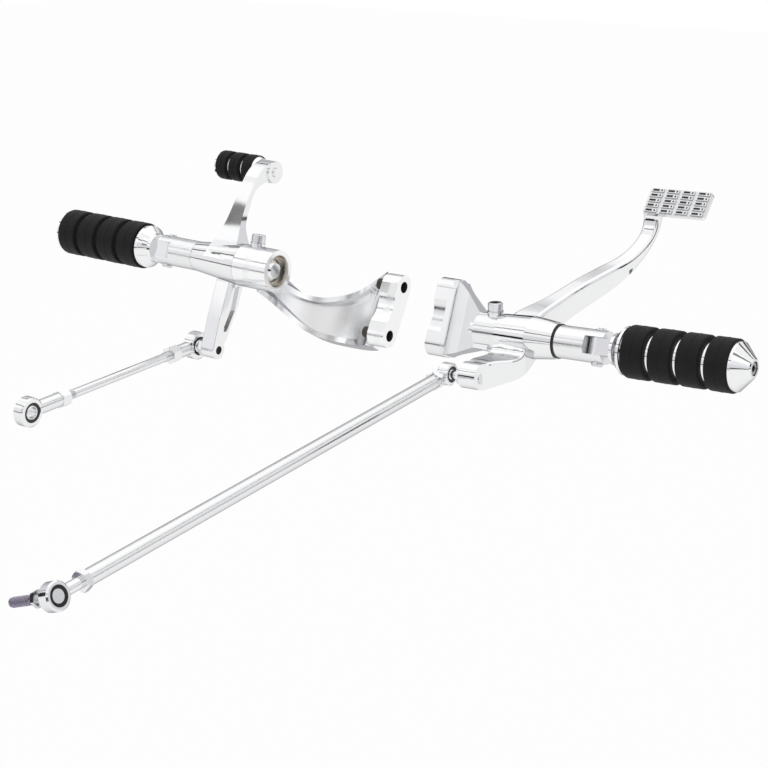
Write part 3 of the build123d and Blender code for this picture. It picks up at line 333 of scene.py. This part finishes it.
# painted light: A is the chrome painted lighter than the other castings, B the dark streaks of a painted
# reflection
painted_light_colour = tree.nodes.new("ShaderNodeMix")
painted_light_colour.data_type = "RGBA"
painted_light_colour.inputs["A"].default_value = (0.95, 0.953, 0.96, 1.0)
painted_light_colour.inputs["B"].default_value = (0.10, 0.11, 0.11, 1.0)
streak_sharp = tree.nodes.new("ShaderNodeMapRange")
streak_sharp.inputs["From Min"].default_value = 0.47
streak_sharp.inputs["From Max"].default_value = 0.60
tree.links.new(left_coords.outputs["Object"], streak_turn.inputs["Vector"])
tree.links.new(streak_turn.outputs["Vector"], streak_lines.inputs["Vector"])
tree.links.new(left_coords.outputs["Object"], painted_streak_spot.inputs[0])
tree.links.new(painted_streak_spot.outputs["Value"], painted_streak_reach.inputs["Value"])
tree.links.new(streak_lines.outputs["Fac"], streak_sharp.inputs["Value"])
bend_centre = (-0.1230, 0.0033, 0.0099)
bend_axis = Vector((-0.0234, -0.4833, -0.8752)).normalized()
from_bend = tree.nodes.new("ShaderNodeVectorMath")
from_bend.operation = "SUBTRACT"
from_bend.inputs[1].default_value = bend_centre
off_bend = tree.nodes.new("ShaderNodeVectorMath")
off_bend.operation = "CROSS_PRODUCT"
off_bend.inputs[1].default_value = bend_axis
bend_distance = tree.nodes.new("ShaderNodeVectorMath")
bend_distance.operation = "LENGTH"
pocket_inner = tree.nodes.new("ShaderNodeMapRange")
pocket_inner.inputs["From Min"].default_value = 0.0575
pocket_inner.inputs["From Max"].default_value = 0.0600
pocket_outer = tree.nodes.new("ShaderNodeMapRange")
pocket_outer.inputs["From Min"].default_value = 0.0655
pocket_outer.inputs["From Max"].default_value = 0.0640
pocket_mask = tree.nodes.new("ShaderNodeMath")
pocket_mask.operation = "MULTIPLY"
pocket_gloss = tree.nodes.new("ShaderNodeMix")
pocket_gloss.data_type = "FLOAT"
pocket_gloss.inputs["B"].default_value = 0.26
painted_streak_in_pocket = tree.nodes.new("ShaderNodeMath")
painted_streak_in_pocket.operation = "MULTIPLY"
tree.links.new(left_coords.outputs["Object"], from_bend.inputs[0])
tree.links.new(from_bend.outputs["Vector"], off_bend.inputs[0])
tree.links.new(off_bend.outputs["Vector"], bend_distance.inputs[0])
tree.links.new(bend_distance.outputs["Value"], pocket_inner.inputs["Value"])
tree.links.new(bend_distance.outputs["Value"], pocket_outer.inputs["Value"])
tree.links.new(pocket_inner.outputs["Result"], pocket_mask.inputs[0])
tree.links.new(pocket_outer.outputs["Result"], pocket_mask.inputs[1])
tree.links.new(pocket_mask.outputs[0], pocket_gloss.inputs["Factor"])
tree.links.new(left_marks.outputs["Roughness"], pocket_gloss.inputs["A"])
tree.links.new(pocket_gloss.outputs["Result"], left_shader.inputs["Roughness"])
tree.links.new(streak_sharp.outputs["Result"], painted_streak_mask.inputs[0])
tree.links.new(painted_streak_reach.outputs["Result"], painted_streak_mask.inputs[1])
tree.links.new(painted_streak_mask.outputs[0], painted_streak_in_pocket.inputs[0])
tree.links.new(pocket_mask.outputs[0], painted_streak_in_pocket.inputs[1])
tree.links.new(painted_streak_in_pocket.outputs[0], painted_light_colour.inputs["Factor"])
tree.links.new(painted_light_colour.outputs["Result"], left_shader.inputs["Base Color"])
finish_nodes(left_chrome, "left_bracket")

# Recess round the pivot bolt
# The wall of the barrel's recess is bare behind the bolt, with the tan of the copper that lies
# under the plating. It is a thin turned lining, pressed into the barrel.
axis_slope = 0.0262  # both peg axes rise outwards by 1.5 degrees
recess_axis = Vector((1.0, 0.0, -axis_slope)).normalized()
recess_mouth = Vector((-0.1596, -0.002, 0.01527))
recess_r = 0.0140
recess_depth = 0.0115
lining_gap = 0.0001
lining_thickness = 0.0005
lining_set_back = 0.0006


def thin_wall(piece, thickness):
    """Gives the piece just made a wall, inwards from its surface."""
    wall = piece.modifiers.new("wall", "SOLIDIFY")
    wall.thickness = thickness
    wall.offset = -1.0
    bpy.ops.object.modifier_apply(modifier="wall")


def stand_along(piece, place, axis):
    """Stands the piece just made at a place with its own Z along an axis."""
    piece.matrix_world = Matrix.Translation(place) @ axis.to_track_quat("Z", "Y").to_matrix().to_4x4()
    bpy.ops.object.transform_apply(location=True, rotation=True, scale=True)


bpy.ops.object.select_all(action="DESELECT")
bpy.ops.mesh.primitive_cylinder_add(
    vertices=96, radius=recess_r - lining_gap, depth=recess_depth, end_fill_type="NOTHING"
)
recess_lining = bpy.context.object
recess_lining.name = "left_recess_lining"
thin_wall(recess_lining, lining_thickness)
stand_along(
    recess_lining, recess_mouth - recess_axis * (recess_depth / 2 + lining_set_back), recess_axis
)
bpy.ops.object.shade_smooth_by_angle(angle=math.radians(40))
copper_tan = plated(
    "recess_tan",
    (0.88, 0.83, 0.76),
    {"Cloud Scale": 140.0, "Gloss Low": 0.22, "Gloss High": 0.38, "Wave Scale": 60.0, "Wave Depth": 0.0001},
)
recess_lining.data.materials.append(copper_tan)
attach(recess_lining, "frame_brackets")

# Bolt holes of the left foot
# Thin dark linings, the oil and shade inside the two unplated bores. The foot is 16 mm thick
# there, so beside the arm they reach 9 mm out behind it, which the real foot doesn't have.
bore_shade = bpy.data.materials.new("bore_shade")
bore_shade.use_nodes = True
tree = bore_shade.node_tree
bore_shader = tree.nodes["Principled BSDF"]
bore_shader.inputs["Metallic"].default_value = 0.6
bore_shader.inputs["Roughness"].default_value = 0.55
bore_place = tree.nodes.new("ShaderNodeTexCoord")
bore_cloud = tree.nodes.new("ShaderNodeTexNoise")
bore_cloud.inputs["Scale"].default_value = 260.0
bore_tone = tree.nodes.new("ShaderNodeMix")
bore_tone.data_type = "RGBA"
bore_tone.inputs["A"].default_value = (0.050, 0.044, 0.040, 1.0)
bore_tone.inputs["B"].default_value = (0.110, 0.098, 0.090, 1.0)
tree.links.new(bore_place.outputs["Object"], bore_cloud.inputs["Vector"])
tree.links.new(bore_cloud.outputs["Fac"], bore_tone.inputs["Factor"])
tree.links.new(bore_tone.outputs["Result"], bore_shader.inputs["Base Color"])
bore_radius = 0.0047
bore_start = -0.0900
bore_end = -0.0655
bore_wall = 0.0002
for bore_name, bore_y, bore_z in [
    ("left_bore_lining_front", 0.04615, 0.00545),
    ("left_bore_lining_low", 0.02565, -0.03175),
]:
    bpy.ops.object.select_all(action="DESELECT")
    bpy.ops.mesh.primitive_cylinder_add(
        vertices=40, radius=bore_radius, depth=bore_end - bore_start, end_fill_type="NOTHING",
        location=((bore_start + bore_end) / 2, bore_y, bore_z), rotation=(0.0, math.pi / 2, 0.0),
    )
    bore_lining = bpy.context.object
    bore_lining.name = bore_name
    bpy.ops.object.transform_apply(location=True, rotation=True, scale=True)
    thin_wall(bore_lining, bore_wall)
    bore_lining.data.materials.append(bore_shade)
    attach(bore_lining, "frame_brackets")

# Screws, washers, bolt, fold pins and clips
# Turned from steel bar and zinc plated, a little duller than the chrome, with fine turning marks.
# A thin plain band stands round the head of each clamp screw, where the real ones are knurled.
screw_colour = (0.78, 0.785, 0.80)
screw_plate = plated(
    "screw_plate",
    screw_colour,
    {"Cloud Scale": 320.0, "Gloss Low": 0.10, "Gloss High": 0.24, "Wave Scale": 240.0, "Wave Depth": 0.00004},
)
finish_nodes(
    screw_plate,
    "left_clamp_screw", "left_clamp_washer", "right_clamp_screw", "right_clamp_washer",
    "left_fold_pin", "left_pin_clip", "right_fold_pin", "right_pin_clip",
)
knurl_sides = 60
knurl_r = 0.0058422
knurl_h = 0.0048
knurl_wall = 0.0003
knurl_rise = 0.0033
for knurl_name, head_seat, head_axis in [
    ("left_screw_knurl", (-0.1844, 0.0024, 0.0364), (0.0256, 0.2079, 0.9778)),
    ("right_screw_knurl", (0.0555, -0.0020, 0.0125), (-axis_slope, 0.0, 0.9997)),
]:
    bpy.ops.object.select_all(action="DESELECT")
    bpy.ops.mesh.primitive_cylinder_add(
        vertices=knurl_sides, radius=knurl_r, depth=knurl_h, end_fill_type="NOTHING"
    )
    knurl = bpy.context.object
    knurl.name = knurl_name
    thin_wall(knurl, knurl_wall)
    knurl_axis = Vector(head_axis).normalized()
    stand_along(knurl, Vector(head_seat) + knurl_axis * knurl_rise, knurl_axis)
    knurl.data.materials.append(screw_plate)
    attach(knurl, "frame_brackets")
bolt_plate = plated(
    "bolt_plate",
    (0.84, 0.855, 0.87),
    {"Cloud Scale": 90.0, "Gloss Low": 0.06, "Gloss High": 0.16, "Wave Scale": 70.0, "Wave Depth": 0.00018},
)
finish_nodes(bolt_plate, "left_pivot_bolt")
dark_screw = plated(
    "cap_screw_plate",
    (0.46, 0.45, 0.45),
    {"Cloud Scale": 320.0, "Gloss Low": 0.16, "Gloss High": 0.30, "Wave Scale": 240.0, "Wave Depth": 0.00004},
)
finish_nodes(dark_screw, "left_cap_screw", "right_cap_screw")

# Peg mounts
# Turned tubes with a forked end, chromed over a fine satin from the lathe, so that reflections
# run soft along them. The turning lines go round the tube.
satin_chrome = plated(
    "satin_chrome",
    chrome_colour,
    {"Cloud Scale": 40.0, "Gloss Low": 0.18, "Gloss High": 0.27, "Wave Scale": 30.0, "Wave Depth": 0.00004},
)
tree = satin_chrome.node_tree
satin_shader = tree.nodes["Principled BSDF"]
satin_marks = polish_marks(satin_chrome)
lathe_place = tree.nodes.new("ShaderNodeTexCoord")
lathe_lines = tree.nodes.new("ShaderNodeTexWave")
lathe_lines.bands_direction = "X"
lathe_lines.inputs["Scale"].default_value = 560.0
lathe_lines.inputs["Distortion"].default_value = 1.5
lathe_lines.inputs["Detail"].default_value = 2.0
lathe_bump = tree.nodes.new("ShaderNodeBump")
lathe_bump.inputs["Strength"].default_value = 0.10
lathe_bump.inputs["Distance"].default_value = 0.00003
tree.links.new(lathe_place.outputs["Object"], lathe_lines.inputs["Vector"])
tree.links.new(lathe_lines.outputs["Fac"], lathe_bump.inputs["Height"])
tree.links.new(satin_marks.outputs["Normal"], lathe_bump.inputs["Normal"])
tree.links.new(lathe_bump.outputs["Normal"], satin_shader.inputs["Normal"])
finish_nodes(satin_chrome, "left_peg_mount", "right_peg_mount")

# Shift lever and its bush
# One casting with a tapered hub and two arms, polished and chromed like the brackets. The bronze
# bush is pressed into the hub and can't be seen once the lever is on its shaft.
finish_nodes(casting_chrome, "shift_lever")
bearing_bronze = plated(
    "bearing_bronze",
    (0.62, 0.47, 0.27),
    {"Cloud Scale": 150.0, "Gloss Low": 0.22, "Gloss High": 0.38, "Wave Scale": 90.0, "Wave Depth": 0.00005},
    (1.0, 0.9, 0.7, 1.0),
)
finish_nodes(bearing_bronze, "shift_lever_bush", "pedal_bush")

# Ball studs and the bored ball
# Hardened, ground and plated. The shift stud's end in the lever's foot is painted near black, a
# painted shade for the dark hole there.
finish_nodes(screw_plate, "brake_ball_stud", "shift_far_ball")
foot_stud = screw_plate.copy()
foot_stud.name = "foot_stud_plate_hole_shade"
tree = foot_stud.node_tree
foot_place = tree.nodes.new("ShaderNodeTexCoord")
foot_split = tree.nodes.new("ShaderNodeSeparateXYZ")
# painted shade: past this x the stud's end is painted near black
stud_end_shade_mask = tree.nodes.new("ShaderNodeMapRange")
stud_end_shade_mask.inputs["From Min"].default_value = -0.21160
stud_end_shade_mask.inputs["From Max"].default_value = -0.21130
stud_end_shade_colour = tree.nodes.new("ShaderNodeMix")
stud_end_shade_colour.data_type = "RGBA"
stud_end_shade_colour.inputs["A"].default_value = (*screw_colour, 1.0)
stud_end_shade_colour.inputs["B"].default_value = (0.030, 0.028, 0.028, 1.0)
tree.links.new(foot_place.outputs["Object"], foot_split.inputs["Vector"])
tree.links.new(foot_split.outputs["X"], stud_end_shade_mask.inputs["Value"])
tree.links.new(stud_end_shade_mask.outputs["Result"], stud_end_shade_colour.inputs["Factor"])
tree.links.new(stud_end_shade_colour.outputs["Result"], tree.nodes["Principled BSDF"].inputs["Base Color"])
finish_nodes(foot_stud, "shift_ball_stud")

# Brake pedal
# One casting: hub, rod lever, arm and tread, polished and chromed, with the tread's top left dull.
# The tread's raised blocks have a thin dark dash and a dot on each, painted shade for the small slots of the
# grip pattern.
axis_lean = math.radians(1.5)
tread_tilt = math.radians(47.6)
tread_along = Vector((math.cos(axis_lean), 0.0, math.sin(axis_lean)))
tread_up = Vector((
    -math.sin(axis_lean) * math.cos(tread_tilt),
    -math.sin(tread_tilt),
    math.cos(axis_lean) * math.cos(tread_tilt),
))
tread_down = tread_along.cross(tread_up)
pedal_chrome = casting_chrome.copy()
pedal_chrome.name = "pedal_chrome"
tree = pedal_chrome.node_tree
pedal_shader = tree.nodes["Principled BSDF"]
pedal_marks = polish_marks(pedal_chrome)
tread_place = tree.nodes.new("ShaderNodeTexCoord")
tread_level = tree.nodes.new("ShaderNodeVectorMath")
tread_level.operation = "DOT_PRODUCT"
tread_level.inputs[1].default_value = tread_up
tread_split = tree.nodes.new("ShaderNodeSeparateXYZ")
tread_top = tree.nodes.new("ShaderNodeMath")
tread_top.operation = "GREATER_THAN"
tread_top.inputs[1].default_value = -0.0400
tread_front = tree.nodes.new("ShaderNodeMath")
tread_front.operation = "GREATER_THAN"
tread_front.inputs[1].default_value = 0.116
tread_mask = tree.nodes.new("ShaderNodeMath")
tread_mask.operation = "MULTIPLY"
tread_gloss = tree.nodes.new("ShaderNodeMix")
tread_gloss.data_type = "FLOAT"
tread_gloss.inputs["B"].default_value = 0.38
tread_tone = tree.nodes.new("ShaderNodeMix")
tread_tone.data_type = "RGBA"
tread_tone.inputs["A"].default_value = (*chrome_colour, 1.0)
tread_tone.inputs["B"].default_value = (0.72, 0.723, 0.73, 1.0)
tree.links.new(tread_place.outputs["Object"], tread_level.inputs[0])
tree.links.new(tread_place.outputs["Object"], tread_split.inputs["Vector"])
tree.links.new(tread_level.outputs["Value"], tread_top.inputs[0])
tree.links.new(tread_split.outputs["Y"], tread_front.inputs[0])
tree.links.new(tread_top.outputs[0], tread_mask.inputs[0])
tree.links.new(tread_front.outputs[0], tread_mask.inputs[1])
tree.links.new(tread_mask.outputs[0], tread_gloss.inputs["Factor"])
tree.links.new(pedal_marks.outputs["Roughness"], tread_gloss.inputs["A"])
tree.links.new(tread_gloss.outputs["Result"], pedal_shader.inputs["Roughness"])
tree.links.new(tread_mask.outputs[0], tread_tone.inputs["Factor"])
tree.links.new(tread_tone.outputs["Result"], pedal_shader.inputs["Base Color"])
finish_nodes(pedal_chrome, "brake_pedal")
block_columns = 4
block_rows = 5
column_step = tread_along * 0.0135
row_step = tread_down * 0.00472
first_block = Vector((0.119684, 0.134553, 0.0935798))
tread_turn = Matrix((tread_along, tread_up.cross(tread_along), tread_up)).transposed().to_4x4()
mark_height = 0.00012
mark_round = 0.3
shade_pieces = []
# painted shade: a near-black dash and dot laid on each block
for mark_offset, mark_length, mark_width in [(-0.0013, 0.0056, 0.0019), (0.0036, 0.0013, 0.0016)]:
    bpy.ops.object.select_all(action="DESELECT")
    bpy.ops.mesh.primitive_cube_add(size=1.0)
    mark = bpy.context.object
    mark.scale = (mark_length, mark_width, mark_height)
    bpy.ops.object.transform_apply(location=True, rotation=True, scale=True)
    mark_edge = mark.modifiers.new("edge", "BEVEL")
    mark_edge.width = mark_width * mark_round
    mark_edge.segments = 2
    mark_edge.limit_method = "ANGLE"
    bpy.ops.object.modifier_apply(modifier="edge")
    mark.matrix_world = Matrix.Translation(first_block + tread_along * mark_offset) @ tread_turn
    bpy.ops.object.transform_apply(location=True, rotation=True, scale=True)
    for step, count in [(column_step, block_columns), (row_step, block_rows)]:
        copies = mark.modifiers.new("copies", "ARRAY")
        copies.use_relative_offset = False
        copies.use_constant_offset = True
        copies.constant_offset_displace = step
        copies.count = count
        bpy.ops.object.modifier_apply(modifier="copies")
    shade_pieces.append(mark)
bpy.ops.object.select_all(action="DESELECT")
for mark in shade_pieces:
    mark.select_set(True)
bpy.context.view_layer.objects.active = shade_pieces[0]
bpy.ops.object.join()
tread_shade_marks = bpy.context.object
tread_shade_marks.name = "tread_shade_marks"
slot_shade_dark = plated(
    "tread_slot_shade",
    (0.05, 0.05, 0.052),
    {"Cloud Scale": 900.0, "Gloss Low": 0.30, "Gloss High": 0.55, "Wave Scale": 400.0, "Wave Depth": 0.00003},
)
tread_shade_marks.data.materials.append(slot_shade_dark)
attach(tread_shade_marks, "brake_pedal")

# Pedal seal
# A black moulded ring between the pedal's hub and the peg mount, with a dull skin.
seal_black = bpy.data.materials.new("seal_black")
seal_black.use_nodes = True
tree = seal_black.node_tree
seal_shader = tree.nodes["Principled BSDF"]
seal_noise_place = tree.nodes.new("ShaderNodeTexCoord")
seal_noise = tree.nodes.new("ShaderNodeTexNoise")
seal_noise.inputs["Scale"].default_value = 420.0
seal_tone = tree.nodes.new("ShaderNodeMix")
seal_tone.data_type = "RGBA"
seal_tone.inputs["A"].default_value = (0.006, 0.006, 0.006, 1.0)
seal_tone.inputs["B"].default_value = (0.014, 0.014, 0.015, 1.0)
tree.links.new(seal_noise_place.outputs["Object"], seal_noise.inputs["Vector"])
tree.links.new(seal_noise.outputs["Fac"], seal_tone.inputs["Factor"])
tree.links.new(seal_tone.outputs["Result"], seal_shader.inputs["Base Color"])
seal_shader.inputs["Roughness"].default_value = 0.45
finish_nodes(seal_black, "pedal_seal")

# Rods, rod ends and jam nuts
# Drawn bar and tube, plated bright. The drawing leaves fine lines along the rods, and the forged
# ends are tumbled before plating, so they are softer than the levers.
drawn_plate = plated(
    "drawn_plate",
    (0.85, 0.853, 0.86),
    {"Cloud Scale": 80.0, "Gloss Low": 0.10, "Gloss High": 0.19, "Wave Scale": 60.0, "Wave Depth": 0.00006},
)
tree = drawn_plate.node_tree
drawn_shader = tree.nodes["Principled BSDF"]
drawn_marks = polish_marks(drawn_plate)
drawn_place = tree.nodes.new("ShaderNodeTexCoord")
drawn_stretch = tree.nodes.new("ShaderNodeMapping")
drawn_stretch.inputs["Scale"].default_value = (900.0, 12.0, 900.0)
drawn_lines = tree.nodes.new("ShaderNodeTexNoise")
drawn_lines.inputs["Scale"].default_value = 1.0
drawn_lines.inputs["Detail"].default_value = 2.0
drawn_bump = tree.nodes.new("ShaderNodeBump")
drawn_bump.inputs["Strength"].default_value = 0.12
drawn_bump.inputs["Distance"].default_value = 0.00005
tree.links.new(drawn_place.outputs["Object"], drawn_stretch.inputs["Vector"])
tree.links.new(drawn_stretch.outputs["Vector"], drawn_lines.inputs["Vector"])
tree.links.new(drawn_lines.outputs["Fac"], drawn_bump.inputs["Height"])
tree.links.new(drawn_marks.outputs["Normal"], drawn_bump.inputs["Normal"])
tree.links.new(drawn_bump.outputs["Normal"], drawn_shader.inputs["Normal"])
finish_nodes(drawn_plate, "shift_rod", "brake_rod_tube")
forged_plate = plated(
    "forged_plate",
    (0.86, 0.863, 0.87),
    {"Cloud Scale": 190.0, "Gloss Low": 0.08, "Gloss High": 0.18, "Wave Scale": 95.0, "Wave Depth": 0.00016},
)
finish_nodes(
    forged_plate,
    "shift_rod_end_near", "shift_rod_end_far", "brake_rod_end_near", "brake_rod_end_far",
    "shift_jam_nut_near", "shift_jam_nut_far", "brake_jam_nut_near", "brake_jam_nut_far",
)

# Liners
# The black bearing race between each eye and its ball, pressed in, with a slight sheen.
liner_black = seal_black.copy()
liner_black.name = "liner_black"
liner_shader = liner_black.node_tree.nodes["Principled BSDF"]
liner_shader.inputs["Roughness"].default_value = 0.30
finish_nodes(
    liner_black, "shift_liner_near", "shift_liner_far", "brake_liner_near", "brake_liner_far"
)

# Far stud and the rods' threads
# The stud's ball and collar are bright. Its free end is dark plated with a purple cast and rolled
# with a thread. The shift rod shows a few turns of its own thread where it leaves each jam nut.
stud_plate = screw_plate.copy()
stud_plate.name = "far_stud_plate"
tree = stud_plate.node_tree
stud_place = tree.nodes.new("ShaderNodeTexCoord")
stud_split = tree.nodes.new("ShaderNodeSeparateXYZ")
stud_change = tree.nodes.new("ShaderNodeMapRange")
stud_change.inputs["From Min"].default_value = 0.0310
stud_change.inputs["From Max"].default_value = 0.0300
stud_colour = tree.nodes.new("ShaderNodeMix")
stud_colour.data_type = "RGBA"
stud_colour.inputs["A"].default_value = (*screw_colour, 1.0)
stud_colour.inputs["B"].default_value = (0.33, 0.30, 0.38, 1.0)
tree.links.new(stud_place.outputs["Object"], stud_split.inputs["Vector"])
tree.links.new(stud_split.outputs["X"], stud_change.inputs["Value"])
tree.links.new(stud_change.outputs["Result"], stud_colour.inputs["Factor"])
tree.links.new(stud_colour.outputs["Result"], tree.nodes["Principled BSDF"].inputs["Base Color"])
finish_nodes(stud_plate, "brake_far_stud")
thread_dark = plated(
    "thread_dark",
    (0.40, 0.37, 0.46),
    {"Cloud Scale": 300.0, "Gloss Low": 0.20, "Gloss High": 0.36, "Wave Scale": 200.0, "Wave Depth": 0.00003},
    (0.7, 0.62, 0.8, 1.0),
)


thread_steps = 32


def rolled_thread(name, start, end, radius, pitch, metal, body):
    """A helical ridge rolled on a bar between two points of its axis."""
    start = Vector(start)
    run = Vector(end) - start
    bpy.ops.object.select_all(action="DESELECT")
    bpy.ops.mesh.primitive_circle_add(
        vertices=3, radius=pitch / 2, location=(radius, 0.0, 0.0), rotation=(math.pi / 2, 0.0, 0.0)
    )
    thread = bpy.context.object
    thread.name = name
    bpy.ops.object.transform_apply(location=True, rotation=True, scale=True)
    coil = thread.modifiers.new("coil", "SCREW")
    coil.axis = "Z"
    coil.screw_offset = pitch
    coil.iterations = int(run.length / pitch)
    coil.steps = thread_steps
    coil.render_steps = thread_steps
    coil.use_merge_vertices = False
    bpy.ops.object.modifier_apply(modifier="coil")
    bpy.ops.object.mode_set(mode="EDIT")
    bpy.ops.mesh.select_all(action="SELECT")
    bpy.ops.mesh.fill_holes(sides=4)
    bpy.ops.mesh.normals_make_consistent(inside=False)
    bpy.ops.object.mode_set(mode="OBJECT")
    stand_along(thread, start, run)
    thread.data.materials.append(metal)
    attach(thread, body)


rolled_thread(
    "far_stud_thread", (0.0280, -0.47147, -0.07855), (0.01020, -0.47090, -0.08478), 0.00292, 0.0010,
    thread_dark, "brake_far_stud",
)
rolled_thread(
    "shift_rod_thread_far", (-0.23608, -0.1766, -0.06492), (-0.23605, -0.1690, -0.06446), 0.00358, 0.0010,
    forged_plate, "shift_rod",
)
rolled_thread(
    "shift_rod_thread_near", (-0.23592, -0.0563, -0.05757), (-0.23594, -0.0640, -0.05803), 0.00358, 0.0010,
    forged_plate, "shift_rod",
)

# Rubber rings
# Moulded in black rubber and stretched over the pegs. The mould's halves leave a fine flash line
# round the middle of each ring.
ring_rubber = bpy.data.materials.new("ring_rubber")
ring_rubber.use_nodes = True
tree = ring_rubber.node_tree
rubber_shader = tree.nodes["Principled BSDF"]
rubber_place = tree.nodes.new("ShaderNodeTexCoord")
rubber_cloud = tree.nodes.new("ShaderNodeTexNoise")
rubber_cloud.inputs["Scale"].default_value = 130.0
rubber_cloud.inputs["Detail"].default_value = 5.0
rubber_tone = tree.nodes.new("ShaderNodeMix")
rubber_tone.data_type = "RGBA"
rubber_tone.inputs["A"].default_value = (0.0060, 0.0058, 0.0058, 1.0)
rubber_tone.inputs["B"].default_value = (0.0195, 0.0188, 0.0186, 1.0)
rubber_gloss = tree.nodes.new("ShaderNodeMapRange")
rubber_gloss.inputs["To Min"].default_value = 0.50
rubber_gloss.inputs["To Max"].default_value = 0.68
rubber_grain = tree.nodes.new("ShaderNodeTexNoise")
rubber_grain.inputs["Scale"].default_value = 1500.0
rubber_grain.inputs["Detail"].default_value = 2.0
rubber_bump = tree.nodes.new("ShaderNodeBump")
rubber_bump.inputs["Strength"].default_value = 0.25
rubber_bump.inputs["Distance"].default_value = 0.00008
tree.links.new(rubber_place.outputs["Object"], rubber_cloud.inputs["Vector"])
tree.links.new(rubber_cloud.outputs["Fac"], rubber_tone.inputs["Factor"])
tree.links.new(rubber_tone.outputs["Result"], rubber_shader.inputs["Base Color"])
tree.links.new(rubber_cloud.outputs["Fac"], rubber_gloss.inputs["Value"])
tree.links.new(rubber_gloss.outputs["Result"], rubber_shader.inputs["Roughness"])
tree.links.new(rubber_place.outputs["Object"], rubber_grain.inputs["Vector"])
tree.links.new(rubber_grain.outputs["Fac"], rubber_bump.inputs["Height"])
tree.links.new(rubber_bump.outputs["Normal"], rubber_shader.inputs["Normal"])
rubber_shader.inputs["Specular IOR Level"].default_value = 0.20
flash_r = 0.00018
for peg_name, peg_body, ring_total in [
    ("left_peg", "left_peg", 4),
    ("right_peg", "right_peg", 4),
    ("toe_peg", "shift_lever", 3),
]:
    flash_lines = []
    for ring_number in range(1, ring_total + 1):
        ring_name = peg_name + "_ring_" + str(ring_number)
        finish_nodes(ring_rubber, ring_name)
        ring_low, ring_high = [Vector(corner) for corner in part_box(ring_name)]
        ring_middle = (ring_low + ring_high) / 2
        peg_side = 1.0 if ring_middle.x > 0 else -1.0
        peg_axis = Vector((peg_side, 0.0, axis_slope)).normalized()
        bpy.ops.object.select_all(action="DESELECT")
        bpy.ops.mesh.primitive_torus_add(
            major_radius=(ring_high.y - ring_low.y) / 2,
            minor_radius=flash_r,
            major_segments=96,
            minor_segments=8,
        )
        flash_line = bpy.context.object
        stand_along(flash_line, ring_middle, peg_axis)
        flash_lines.append(flash_line)
    bpy.ops.object.select_all(action="DESELECT")
    for flash_line in flash_lines:
        flash_line.select_set(True)
    bpy.context.view_layer.objects.active = flash_lines[0]
    bpy.ops.object.join()
    flash = bpy.context.object
    flash.name = peg_name + "_mould_lines"
    bpy.ops.object.shade_smooth()
    flash.data.materials.append(ring_rubber)
    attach(flash, peg_body)

# Peg cores and caps
# Turned aluminium, polished bright and chromed. The cap is held by a socket screw in its nose.
turned_chrome = plated(
    "turned_chrome",
    (0.88, 0.883, 0.89),
    {"Cloud Scale": 70.0, "Gloss Low": 0.035, "Gloss High": 0.10, "Wave Scale": 40.0, "Wave Depth": 0.00008},
)
finish_nodes(
    turned_chrome,
    "left_peg_core", "left_peg_cap", "right_peg_core", "right_peg_cap", "toe_peg_core", "toe_peg_cap",
)
